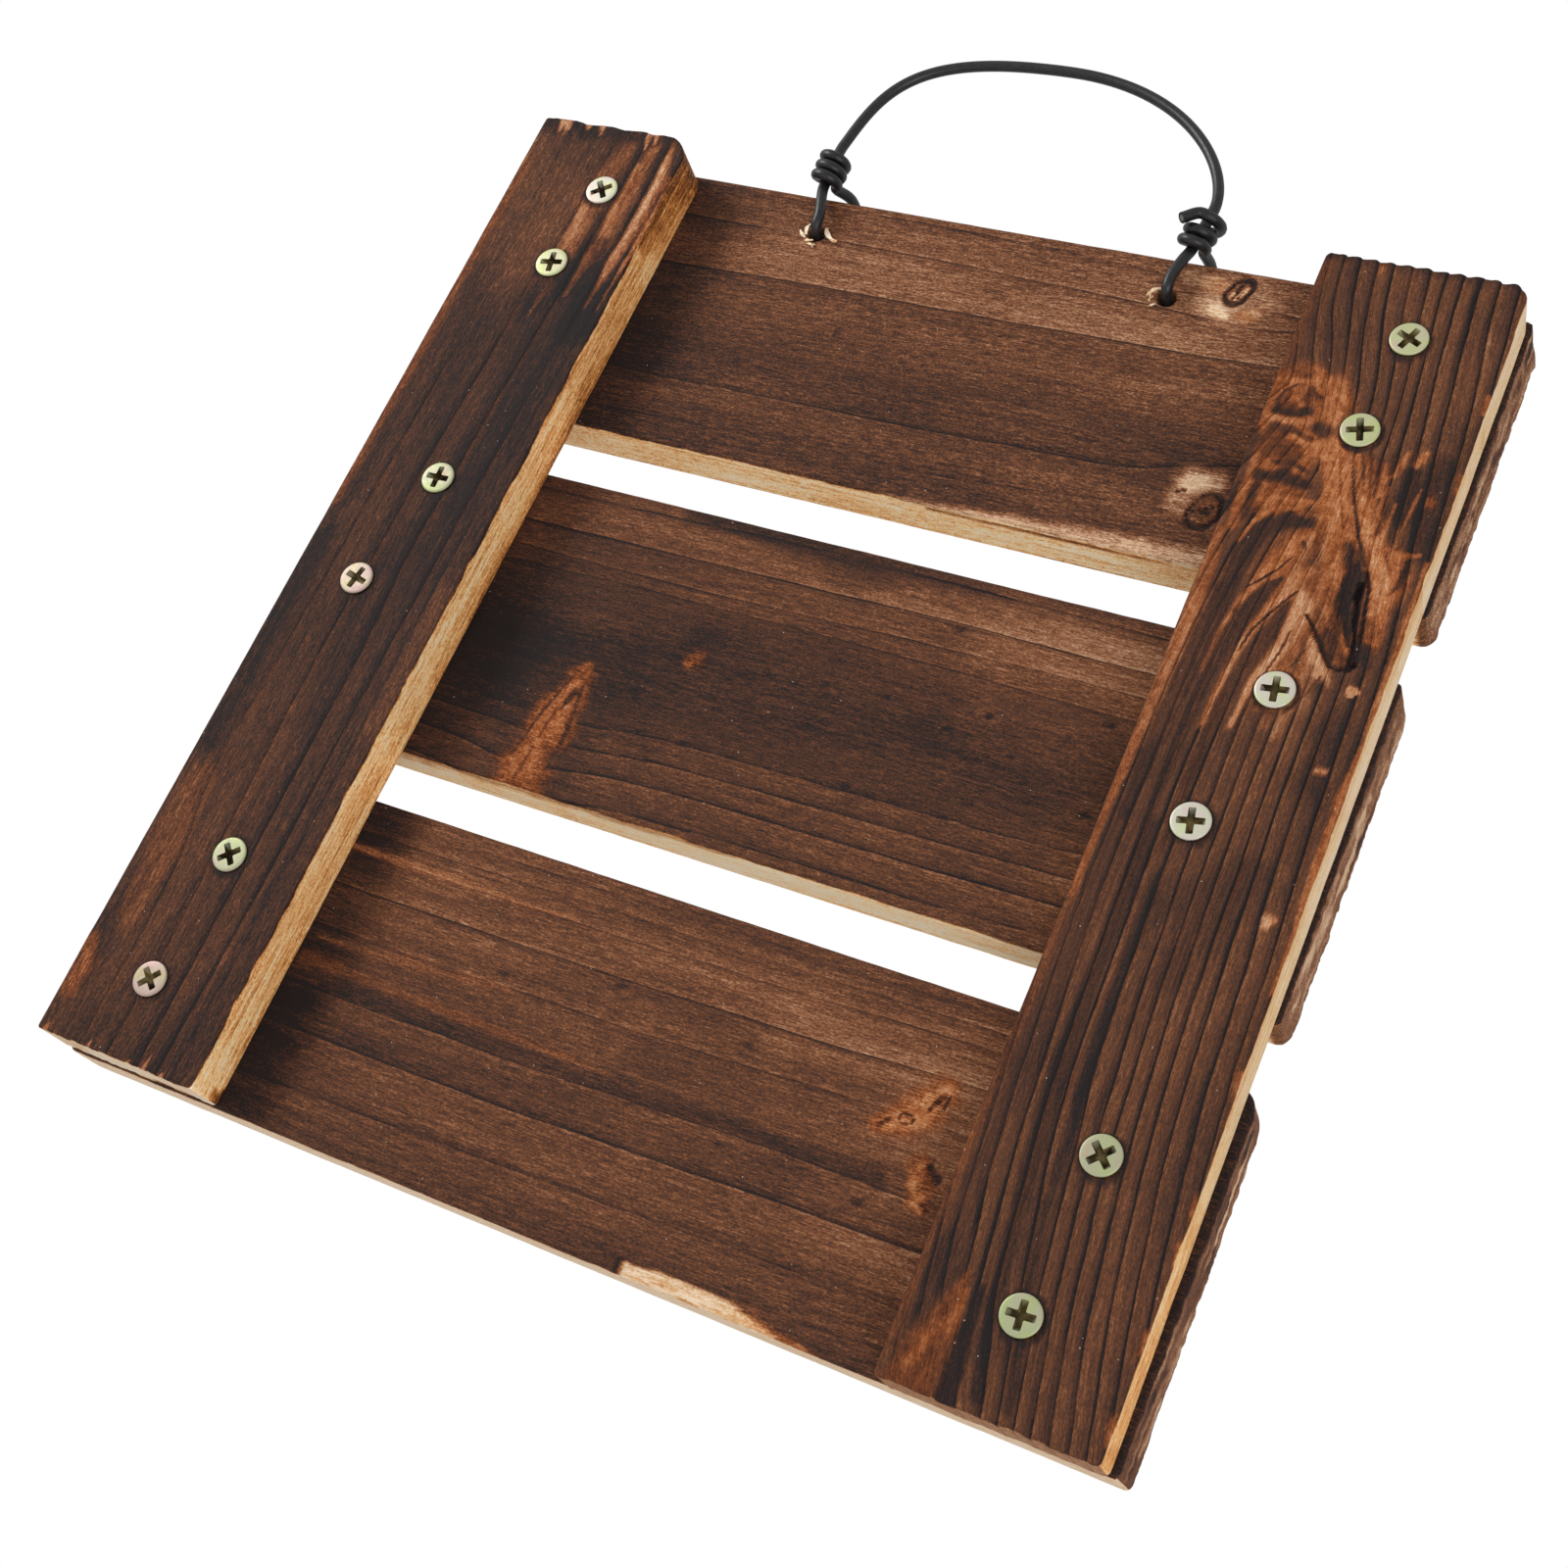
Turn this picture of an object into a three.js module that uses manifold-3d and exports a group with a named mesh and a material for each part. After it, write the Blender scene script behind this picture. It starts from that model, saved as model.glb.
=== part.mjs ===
// Plant mounting board: three charred slats screwed behind two battens, hung by a coated wire.
// Millimetres. X runs along the slats, Z up the battens, and Y towards the wall.
// The origin is the middle of the middle slat's back face, which rests on the wall.
import * as THREE from 'three';
import { mergeVertices } from 'three/addons/utils/BufferGeometryUtils.js';
import Module from 'manifold-3d';

const wasm = await Module();
wasm.setup();

// Slats, stacked up the wall with a gap between them
const slatLength = 243;
const slatThickness = 12;
const topSlatHeight = 74.5;
const middleSlatHeight = 75.4;
const bottomSlatHeight = 74.7;
const upperGap = 14.3;
const lowerGap = 12.4;
const bottomSlatShift = 0.3; // the bottom slat sits this far to the right of the others
const slatCornerRadius = 3;

// Battens, flat on the slats' fronts
const battenOverrun = 0.4; // a batten's length beyond the height of the stacked slats
const battenThickness = 11.7;
const leftBattenWidth = 42.2;
const rightBattenWidth = 43;
const leftBattenOverhang = 0.6; // out from the slats' left ends
const rightBattenInset = 2.2; // in from the slats' right ends
const leftBattenRise = 0.9; // above the top slat's upper edge
const rightBattenRise = 0.2;
const battenTopRadius = 4;
const battenFootRadius = 1.2;

// All long edges are worn round by the brush
const arrisRadius = 1;

// Countersunk screws, with a cross recess
const screwLength = 20;
const screwShankDiameter = 3.2;
const screwTipLength = 4;
const screwHeadDiameter = 8;
const screwHeadRim = 0.4; // upright band round the head
const screwHeadProud = 0.5; // above the batten's face
const recessSpan = 5;
const recessSlotWidth = 1;
const recessDepth = 1.5;
const screwClearance = 0.3; // wood to screw, all round
const pilotSpare = 0.6; // pilot hole past the screw's tip

// Two screws per slat in each batten. The pair's middle lies rise above the slat's centre line, each screw
// lies offset to the right of the batten's centre line, and its recess is left at a turn of so many degrees.
const screwPairs = [
  {
    batten: 'left', slat: 'top', rise: 8.3, spacing: 22.7,
    upper: { offset: 4.5, turn: 36 },
    lower: { offset: 1.7, turn: 10 },
  },
  {
    batten: 'left', slat: 'middle', rise: 9.2, spacing: 29.3,
    upper: { offset: 2.6, turn: 2 },
    lower: { offset: -3.9, turn: -13 },
  },
  {
    batten: 'left', slat: 'bottom', rise: -3.3, spacing: 30.9,
    upper: { offset: 1.9, turn: 41 },
    lower: { offset: -0.8, turn: 48 },
  },
  {
    batten: 'right', slat: 'top', rise: 7.1, spacing: 23.6,
    upper: { offset: 1.75, turn: -25 },
    lower: { offset: -0.95, turn: 16 },
  },
  {
    batten: 'right', slat: 'middle', rise: 8, spacing: 31.1,
    upper: { offset: 1.85, turn: 8 },
    lower: { offset: -4.15, turn: 12 },
  },
  {
    batten: 'right', slat: 'bottom', rise: -2.7, spacing: 31.7,
    upper: { offset: 2.75, turn: 45 },
    lower: { offset: -0.35, turn: 4 },
  },
];

// Hanger: a steel wire in a plastic coating
const wireDiameter = 2.6;
const coreDiameter = 1.6;
const coreClearance = 0.15;
const wireHoleDiameter = 4.8;
const wireHoleDrop = 10.7; // holes' centres below the top slat's upper edge
const legClearance = 1.7; // wire to the slat's faces, front and back
const legBend = 3.4; // height of the bend from a leg into its hole
const turnClearance = 0.3; // one wrapped turn to the wire inside it
const footSetBack = 0.6; // upright wire's foot behind its front leg
const archFootProud = 0.6; // arch's feet in front of the slat's face
const archTopSetBack = 0.6; // arch's top behind the slat's face
const archRise = 47.7; // arch's middle line above the top slat
const archShift = -1.8; // arch's top along the slat, from its middle

// Each end of the wire, with heights above the top slat's upper edge. The wire comes down from the arch,
// passes front to back through its hole, returns over the slat and is wrapped upwards round itself.
// shoulderRise, shoulderReach and shoulderBow shape the arch on that side.
const leftEnd = {
  hole: -44.4,
  footLean: -2.7,
  footRise: 1,
  topLean: -4.2,
  topRise: 13.9,
  returnLean: 0.9,
  returnRise: 5,
  wrapRise: 2.4,
  wrapPitch: 3.25,
  wrapTilt: 0.9,
  wrapTurns: 2.8,
  eyeGrowth: 0,
  eyeRise: 0,
  tail: new THREE.Vector3(0, 0, 0),
  shoulderRise: 19.4,
  shoulderReach: 41.3,
  shoulderBow: 2.9,
};
const rightEnd = {
  hole: 43,
  footLean: 1.7,
  footRise: 1,
  topLean: 2.3,
  topRise: 14.6,
  returnLean: 4.3,
  returnRise: 4.3,
  wrapRise: 1.9,
  wrapPitch: 3.4,
  wrapTilt: 1.4,
  wrapTurns: 2.4,
  eyeGrowth: 1.5,
  eyeRise: 0.3,
  tail: new THREE.Vector3(-3, -1.4, -3.2),
  shoulderRise: 11,
  shoulderReach: 30.8,
  shoulderBow: 0.1,
};

// Facets
const cornerSegments = 4;
const arrisSegments = 2;
const roundSegments = 16;
const wireSides = 8;
const coreSides = 6;
const turnSteps = 12;
const archSteps = 16;

// Places that follow from the sizes
const topSlatFoot = middleSlatHeight / 2 + upperGap;
const topSlatTop = topSlatFoot + topSlatHeight;
const bottomSlatTop = -middleSlatHeight / 2 - lowerGap;
const bottomSlatFoot = bottomSlatTop - bottomSlatHeight;
const battenLength = topSlatTop - bottomSlatFoot + battenOverrun;
const battenFace = -slatThickness - battenThickness;
const wireHoleHeight = topSlatTop - wireHoleDrop;
const wireRadius = wireDiameter / 2;
const legStandOff = wireRadius + legClearance;
const frontLegY = -slatThickness - legStandOff;
const archFootY = -slatThickness - archFootProud;
const wrapRadius = wireDiameter + turnClearance;

const slats = {
  top: { x: 0, z: topSlatFoot + topSlatHeight / 2, height: topSlatHeight },
  middle: { x: 0, z: 0, height: middleSlatHeight },
  bottom: { x: bottomSlatShift, z: bottomSlatFoot + bottomSlatHeight / 2, height: bottomSlatHeight },
};
const battens = {
  left: {
    x: -slatLength / 2 - leftBattenOverhang + leftBattenWidth / 2,
    z: topSlatTop + leftBattenRise - battenLength / 2,
    width: leftBattenWidth,
  },
  right: {
    x: slatLength / 2 - rightBattenInset - rightBattenWidth / 2,
    z: topSlatTop + rightBattenRise - battenLength / 2,
    width: rightBattenWidth,
  },
};

const screws = screwPairs.flatMap(({ batten, slat, rise, spacing, upper, lower }) => {
  const middle = slats[slat].z + rise;
  const centreLine = battens[batten].x;
  const screw = (place, { offset, turn }, z) => ({ batten, slat, place, x: centreLine + offset, z, turn });
  return [screw('upper', upper, middle + spacing / 2), screw('lower', lower, middle - spacing / 2)];
});

// Closed solids from geometries, and back again
function toSolid(geometry) {
  const bare = geometry.clone();
  bare.deleteAttribute('normal');
  bare.deleteAttribute('uv');
  const merged = mergeVertices(bare, 1e-5);
  const corners = merged.index.array;
  const kept = [];
  for (let i = 0; i < corners.length; i += 3) {
    const [a, b, c] = corners.slice(i, i + 3);
    if (a !== b && b !== c && c !== a) kept.push(a, b, c);
  }
  const mesh = new wasm.Mesh({
    numProp: 3,
    vertProperties: new Float32Array(merged.attributes.position.array),
    triVerts: new Uint32Array(kept),
  });
  return new wasm.Manifold(mesh);
}

function toGeometry(solid) {
  const mesh = solid.getMesh();
  const geometry = new THREE.BufferGeometry();
  geometry.setAttribute('position', new THREE.BufferAttribute(mesh.vertProperties, 3));
  geometry.setIndex(new THREE.BufferAttribute(mesh.triVerts, 1));
  return geometry;
}

function cut(geometry, tools) {
  const body = tools.reduce((left, tool) => left.subtract(toSolid(tool)), toSolid(geometry));
  return toGeometry(body);
}

// A plank in the XZ plane with its back at Y = 0, round corners and worn edges
function plank(width, height, thickness, topRadius, footRadius) {
  const right = width / 2;
  const top = height / 2;
  const outline = new THREE.Shape();
  outline.absarc(right - topRadius, top - topRadius, topRadius, 0, Math.PI / 2);
  outline.absarc(-right + topRadius, top - topRadius, topRadius, Math.PI / 2, Math.PI);
  outline.absarc(-right + footRadius, -top + footRadius, footRadius, Math.PI, 1.5 * Math.PI);
  outline.absarc(right - footRadius, -top + footRadius, footRadius, 1.5 * Math.PI, 2 * Math.PI);
  const geometry = new THREE.ExtrudeGeometry(outline, {
    depth: thickness - 2 * arrisRadius,
    curveSegments: cornerSegments,
    bevelThickness: arrisRadius,
    bevelSize: arrisRadius,
    bevelOffset: -arrisRadius,
    bevelSegments: arrisSegments,
  });
  return geometry.translate(0, 0, arrisRadius).rotateX(Math.PI / 2);
}

// A round solid about Y, from [radius, y] corners that start and end on the axis
function turned(corners) {
  const profile = corners.map(([radius, y]) => new THREE.Vector2(radius, y));
  return new THREE.LatheGeometry(profile, roundSegments);
}

// A screw's outline about Y, head at the front, grown all round by a clearance
function screwOutline(clearance, length) {
  const headRadius = screwHeadDiameter / 2 + clearance;
  const shankRadius = screwShankDiameter / 2 + clearance;
  const faceY = battenFace - screwHeadProud;
  const rimY = faceY + screwHeadRim;
  const neckY = rimY + headRadius - shankRadius;
  return { headRadius, shankRadius, faceY, rimY, neckY, tipY: faceY + length };
}

function screwGeometry() {
  const s = screwOutline(0, screwLength);
  const body = turned([
    [0, s.faceY],
    [s.headRadius, s.faceY],
    [s.headRadius, s.rimY],
    [s.shankRadius, s.neckY],
    [s.shankRadius, s.tipY - screwTipLength],
    [0, s.tipY],
  ]);
  const slot = new THREE.BoxGeometry(recessSpan, 2 * recessDepth, recessSlotWidth);
  const crossSlot = slot.clone().rotateY(Math.PI / 2);
  return cut(body, [slot.translate(0, s.faceY, 0), crossSlot.translate(0, s.faceY, 0)]);
}

// The hole for one screw: countersunk through the batten, then a blind pilot in the slat
function screwDrill(screw) {
  const s = screwOutline(screwClearance, screwLength + pilotSpare);
  const drill = turned([
    [0, s.faceY],
    [s.headRadius, s.faceY],
    [s.headRadius, s.rimY],
    [s.shankRadius, s.neckY],
    [s.shankRadius, s.tipY],
    [0, s.tipY],
  ]);
  return drill.translate(screw.x, 0, screw.z);
}

function wireDrill(holeX) {
  const radius = wireHoleDiameter / 2;
  const drill = turned([
    [0, -2 * slatThickness],
    [radius, -2 * slatThickness],
    [radius, slatThickness],
    [0, slatThickness],
  ]);
  return drill.translate(holeX, 0, wireHoleHeight);
}

function slatGeometry(name) {
  const { x, z, height } = slats[name];
  const blank = plank(slatLength, height, slatThickness, slatCornerRadius, slatCornerRadius);
  blank.translate(x, 0, z);
  const tools = screws.filter((screw) => screw.slat === name).map(screwDrill);
  if (name === 'top') tools.push(wireDrill(leftEnd.hole), wireDrill(rightEnd.hole));
  return cut(blank, tools);
}

function battenGeometry(name) {
  const { x, z, width } = battens[name];
  const blank = plank(width, battenLength, battenThickness, battenTopRadius, battenFootRadius);
  blank.translate(x, -slatThickness, z);
  return cut(blank, screws.filter((screw) => screw.batten === name).map(screwDrill));
}

// Where the upright wire that carries the wrapped turns stands at a height above the slat
function standingPoint(end, rise) {
  const share = (rise - end.footRise) / (end.topRise - end.footRise);
  const footY = frontLegY + footSetBack;
  const x = end.hole + THREE.MathUtils.lerp(end.footLean, end.topLean, share);
  const y = THREE.MathUtils.lerp(footY, archFootY, share);
  return new THREE.Vector3(x, y, topSlatTop + rise);
}

// The wrapped turns of one end, upwards, with the last turn opened to an eye and a straight tail
function wrapPoints(end) {
  const startAngle = Math.PI / 4;
  const steps = Math.round(end.wrapTurns * turnSteps);
  const points = [];
  for (let i = 0; i <= steps; i += 1) {
    const turn = (i / steps) * end.wrapTurns;
    const angle = startAngle - 2 * Math.PI * turn;
    const eye = Math.max(0, turn - end.wrapTurns + 1) ** 2;
    const rise = end.wrapRise + end.wrapPitch * turn;
    const radius = wrapRadius + end.eyeGrowth * eye;
    const lift = end.wrapTilt * Math.sin(angle) + end.eyeRise * eye;
    const offset = new THREE.Vector3(radius * Math.cos(angle), radius * Math.sin(angle), 0);
    points.push(standingPoint(end, rise + lift).add(offset));
  }
  if (end.tail.length() > 0) points.push(points.at(-1).clone().add(end.tail));
  return points;
}

// One end of the wire, from the arch's foot to the cut end
function wireEnd(end) {
  const bendSlack = legBend / 4;
  const legTop = topSlatTop - legBend / 2;
  const backX = end.hole + end.returnLean;
  const frontX = end.hole + end.footLean;
  const at = (x, y, z) => new THREE.Vector3(x, y, z);
  return [
    standingPoint(end, end.topRise),
    standingPoint(end, (end.footRise + end.topRise) / 2),
    standingPoint(end, end.footRise),
    at((frontX * 2 + end.hole) / 3, frontLegY, legTop),
    at(end.hole, frontLegY, wireHoleHeight + legBend),
    at(end.hole, frontLegY + bendSlack, wireHoleHeight + bendSlack),
    at(end.hole, -slatThickness, wireHoleHeight),
    at(end.hole, -slatThickness / 2, wireHoleHeight),
    at(end.hole, 0, wireHoleHeight),
    at(end.hole, legStandOff - bendSlack, wireHoleHeight + bendSlack),
    at(end.hole, legStandOff, wireHoleHeight + legBend),
    at((backX + end.hole) / 2, legStandOff, legTop),
    at(backX, legStandOff / 2, topSlatTop + end.returnRise - bendSlack),
    at(backX, -slatThickness / 2, topSlatTop + end.returnRise),
    ...wrapPoints(end),
  ];
}

// The arch, as two Bezier halves that meet level at its top
function archPoints() {
  const top = new THREE.Vector3(archShift, -slatThickness + archTopSetBack, topSlatTop + archRise);
  const half = (end, side) => {
    const foot = standingPoint(end, end.topRise);
    const shoulder = foot.clone().add(new THREE.Vector3(end.shoulderBow, 0, end.shoulderRise));
    const crown = top.clone().add(new THREE.Vector3(side * end.shoulderReach, 0, 0));
    return new THREE.CubicBezierCurve3(foot, shoulder, crown, top).getPoints(archSteps);
  };
  const left = half(leftEnd, -1).slice(1);
  const right = half(rightEnd, 1).slice(1, -1).reverse();
  return [...left, ...right];
}

// A curve whose steps fall on its points, so that tight turns get more of them
class SteppedCurve extends THREE.CatmullRomCurve3 {
  getUtoTmapping(u) {
    return u;
  }
}

const hangerPoints = [...wireEnd(leftEnd).reverse(), ...archPoints(), ...wireEnd(rightEnd)];
const hangerPath = new SteppedCurve(hangerPoints, false, 'centripetal');

function ring(radius, sides) {
  const corners = [];
  for (let i = 0; i < sides; i += 1) {
    const angle = (2 * Math.PI * i) / sides;
    corners.push(new THREE.Vector2(radius * Math.cos(angle), radius * Math.sin(angle)));
  }
  return corners;
}

function alongHanger(section) {
  const steps = hangerPoints.length - 1;
  const tube = new THREE.ExtrudeGeometry(section, { steps, extrudePath: hangerPath });
  return toGeometry(toSolid(tube));
}

function coatingGeometry() {
  const section = new THREE.Shape(ring(wireRadius, wireSides));
  section.holes.push(new THREE.Path(ring(coreDiameter / 2 + coreClearance, coreSides)));
  return alongHanger(section);
}

function coreGeometry() {
  return alongHanger(new THREE.Shape(ring(coreDiameter / 2, coreSides)));
}

// Finishes
const finishes = {
  slatWood: { color: '#5d3c2b', roughness: 0.8, metalness: 0 },
  battenWood: { color: '#4a2f24', roughness: 0.8, metalness: 0 },
  yellowZinc: { color: '#c9b877', roughness: 0.35, metalness: 1 },
  blackPlastic: { color: '#1c1c1e', roughness: 0.5, metalness: 0 },
  steel: { color: '#9a9a98', roughness: 0.4, metalness: 1 },
};

function piece(name, geometry, finish) {
  geometry.computeVertexNormals();
  const mesh = new THREE.Mesh(geometry, new THREE.MeshStandardMaterial(finishes[finish]));
  mesh.name = name;
  return mesh;
}

// Assembly
const board = new THREE.Group();
for (const name of Object.keys(slats)) {
  board.add(piece(`${name}_slat`, slatGeometry(name), 'slatWood'));
}
for (const name of Object.keys(battens)) {
  board.add(piece(`${name}_batten`, battenGeometry(name), 'battenWood'));
}
for (const { batten, slat, place, x, z, turn } of screws) {
  const screw = piece(`${batten}_${slat}_${place}_screw`, screwGeometry(), 'yellowZinc');
  screw.rotation.y = THREE.MathUtils.degToRad(-turn);
  screw.position.set(x, 0, z);
  board.add(screw);
}

const hanger = new THREE.Group();
hanger.add(piece('hanger_coating', coatingGeometry(), 'blackPlastic'));
hanger.add(piece('hanger_core', coreGeometry(), 'steel'));

const plantMountingBoard = new THREE.Group();
plantMountingBoard.add(board, hanger);

export default plantMountingBoard;
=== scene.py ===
"""Looks of a charred plant mounting board: slats, battens, screws, wire hanger and studio."""
import logging
import math
from dataclasses import dataclass, field
from enum import Enum
from typing import Protocol

import bpy
import numpy as np
from mathutils import Matrix, Vector


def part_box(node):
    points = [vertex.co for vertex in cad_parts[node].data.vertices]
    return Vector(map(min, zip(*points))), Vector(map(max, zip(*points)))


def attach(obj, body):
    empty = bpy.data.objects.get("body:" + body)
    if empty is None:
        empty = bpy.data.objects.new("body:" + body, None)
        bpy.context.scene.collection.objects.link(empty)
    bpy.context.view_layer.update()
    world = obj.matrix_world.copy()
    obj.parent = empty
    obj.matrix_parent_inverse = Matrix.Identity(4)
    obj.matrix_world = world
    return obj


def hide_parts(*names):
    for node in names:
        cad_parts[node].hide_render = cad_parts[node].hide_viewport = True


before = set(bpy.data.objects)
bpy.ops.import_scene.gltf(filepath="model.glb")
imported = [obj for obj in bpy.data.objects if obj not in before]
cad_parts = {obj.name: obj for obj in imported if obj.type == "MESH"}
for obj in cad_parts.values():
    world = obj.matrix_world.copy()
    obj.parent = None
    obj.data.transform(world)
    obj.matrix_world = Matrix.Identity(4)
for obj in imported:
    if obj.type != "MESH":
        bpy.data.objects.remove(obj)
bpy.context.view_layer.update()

MM = 0.001
LOG = logging.getLogger("plant_board")
Array = np.ndarray
Point = tuple[float, float]
Triple = tuple[float, float, float]
Spot = Triple
Colour = Triple
Stops = tuple[tuple[float, Colour], ...]
Piece = bpy.types.Object
Socket = bpy.types.NodeSocket

# Places along Y, in mm: the slats' front, where a batten's saw marks start, and the screw heads' front
SLAT_FRONT = -12.0
BATTEN_SAWN = -24.0
HEAD_FRONT = -24.2

# What each point of a plank stores for its finish
LAYERS = ("burn", "amber", "raw", "late")


class Grain(Enum):
    """The frame axis that a plank's grain runs along."""

    ALONG_X = 0
    ALONG_Z = 2


class Side(Enum):
    """A face of a plank, seen from the front."""

    LEFT = "left"
    RIGHT = "right"
    FOOT = "foot"
    TOP = "top"
    BACK = "back"


# Small numeric helpers


def ramp(low: float, high: float, value: Array) -> Array:
    """Smooth step from 0 at low to 1 at high, which may be the lower one."""
    share = np.clip((value - low) / (high - low), 0.0, 1.0)
    return share * share * (3.0 - 2.0 * share)


def between(t: float, start: float, first: Array, end: float, second: Array) -> Array:
    """A point between two points that belong to two values of t."""
    return (end - t) / (end - start) * first + (t - start) / (end - start) * second


def smooth_line(knots: tuple[Point, ...], where: Array) -> Array:
    """A smooth curve through a few points of a line.

    Args:
        knots: Points (along, across) in mm, in any order.
        where: Places along the line.

    Returns:
        The line's height across at each place.
    """
    pts = np.array(sorted(knots))
    slope = np.gradient(pts[:, 1], pts[:, 0])
    at = np.clip(np.searchsorted(pts[:, 0], where) - 1, 0, len(pts) - 2)
    step = pts[at + 1, 0] - pts[at, 0]
    t = np.clip((where - pts[at, 0]) / step, 0.0, 1.0)
    rise = pts[at + 1, 1] - pts[at, 1]
    bend = t * (1 - t) * ((1 - t) * (slope[at] * step - rise) - t * (slope[at + 1] * step - rise))
    return pts[at, 1] + t * rise + bend


@dataclass
class Noise:
    """Smooth seeded noise in two directions, between -1 and 1."""

    seed: int
    cells: int = 256

    def __post_init__(self) -> None:
        """Draws the lattice."""
        self.lattice = np.random.default_rng(self.seed).uniform(-1, 1, (self.cells, self.cells))

    def plain(self, x: Array, y: Array) -> Array:
        """One octave.

        Args:
            x: First place, in cells.
            y: Second place, in cells.

        Returns:
            The noise there.
        """
        ix, iy = np.floor(x).astype(int), np.floor(y).astype(int)
        tx, ty = x - ix, y - iy
        tx, ty = tx * tx * (3 - 2 * tx), ty * ty * (3 - 2 * ty)
        a, b = ix % self.cells, iy % self.cells
        c, d = (ix + 1) % self.cells, (iy + 1) % self.cells
        low = self.lattice[a, b] * (1 - tx) + self.lattice[c, b] * tx
        high = self.lattice[a, d] * (1 - tx) + self.lattice[c, d] * tx
        return low * (1 - ty) + high * ty

    def rough(self, x: Array, y: Array, octaves: int = 3) -> Array:
        """Several octaves, each half as high and twice as fine."""
        return sum(self.plain(x * 2 ** k + 17 * k, y * 2 ** k + 31 * k) / 2 ** k for k in range(octaves))


# Modelling helpers


def deselect() -> None:
    """Clears the selection, which starts with the CAD nodes in it."""
    if bpy.context.object and bpy.context.object.mode != "OBJECT":
        bpy.ops.object.mode_set(mode="OBJECT")
    bpy.ops.object.select_all(action="DESELECT")


def edit(on: bool) -> None:
    """Enters or leaves edit mode."""
    bpy.ops.object.mode_set(mode="EDIT" if on else "OBJECT")


def take(piece: Piece) -> None:
    """Makes one piece the selected, active one.

    Args:
        piece: The piece to work on.
    """
    deselect()
    piece.select_set(True)
    bpy.context.view_layer.objects.active = piece


def settle(piece: Piece) -> None:
    """Writes a piece's place, turn and size into its mesh."""
    take(piece)
    bpy.ops.object.transform_apply(location=True, rotation=True, scale=True)


def apply_modifier(piece: Piece, kind: str, **settings: object) -> None:
    """Adds a modifier and applies it.

    Args:
        piece: The piece to change.
        kind: Blender's name of the modifier type.
        **settings: The modifier's values.
    """
    take(piece)
    modifier = piece.modifiers.new(kind.lower(), kind)
    for name, value in settings.items():
        setattr(modifier, name, value)
    bpy.ops.object.modifier_apply(modifier=modifier.name)


def cut(piece: Piece, tool: Piece) -> None:
    """Cuts a closed tool out of a piece and deletes the tool."""
    apply_modifier(piece, "BOOLEAN", object=tool, operation="DIFFERENCE", solver="MANIFOLD")
    bpy.data.objects.remove(tool)


def join(pieces: list[Piece]) -> Piece:
    """Joins meshes into the first one.

    Args:
        pieces: The pieces to join.

    Returns:
        The joined piece.
    """
    deselect()
    for piece in pieces:
        piece.select_set(True)
    bpy.context.view_layer.objects.active = pieces[0]
    if len(pieces) > 1:
        bpy.ops.object.join()
    return pieces[0]


def points_of(mesh: bpy.types.Mesh) -> Array:
    """A mesh's points in mm.

    Args:
        mesh: The mesh to read.

    Returns:
        An array of points.
    """
    flat = np.empty(len(mesh.vertices) * 3)
    mesh.vertices.foreach_get("co", flat)
    return flat.reshape(-1, 3) / MM


def move_points(mesh: bpy.types.Mesh, points: Array) -> None:
    """Sets a mesh's points, given in mm."""
    mesh.vertices.foreach_set("co", (points * MM).ravel())
    mesh.update()


def tag(mesh: bpy.types.Mesh, name: str, values: Array) -> None:
    """Stores one value or vector per point.

    Args:
        mesh: The mesh to tag.
        name: The attribute's name.
        values: A list of numbers or of vectors.
    """
    vectors = values.ndim == 2
    layer = mesh.attributes.new(name, "FLOAT_VECTOR" if vectors else "FLOAT", "POINT")
    layer.data.foreach_set("vector" if vectors else "value", values.astype(np.float32).ravel())


def smooth(piece: Piece, degrees: float) -> None:
    """Shades a piece smooth, with edges sharper than an angle kept."""
    take(piece)
    bpy.ops.object.shade_smooth_by_angle(angle=math.radians(degrees))


def coat(piece: Piece, material: bpy.types.Material) -> None:
    """Gives a piece its one material."""
    piece.data.materials.clear()
    piece.data.materials.append(material)


def turned(name: str, profile: tuple[Point, ...], sides: int) -> Piece:
    """A closed round piece about the Y axis, drawn up from a disc.

    Args:
        name: The piece's name.
        profile: Corners (radius, y) in mm, front to back.
        sides: Sides round the axis.

    Returns:
        The piece.
    """
    deselect()
    radius, start = profile[0]
    bpy.ops.mesh.primitive_circle_add(
        vertices=sides, radius=radius * MM, fill_type="NGON",
        location=(0, start * MM, 0), rotation=(math.pi / 2, 0, 0))
    piece = bpy.context.object
    piece.name = name
    settle(piece)
    edit(True)
    bpy.ops.mesh.select_all(action="SELECT")
    for (last, y0), (now, y1) in zip(profile, profile[1:]):
        bpy.ops.mesh.extrude_region_move(TRANSFORM_OT_translate={"value": (0, (y1 - y0) * MM, 0)})
        share = now / last
        bpy.ops.transform.resize(value=(share, 1, share), center_override=(0, y1 * MM, 0))
    bpy.ops.mesh.select_all(action="SELECT")
    bpy.ops.mesh.normals_make_consistent(inside=False)
    edit(False)
    return piece


# Materials


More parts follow.
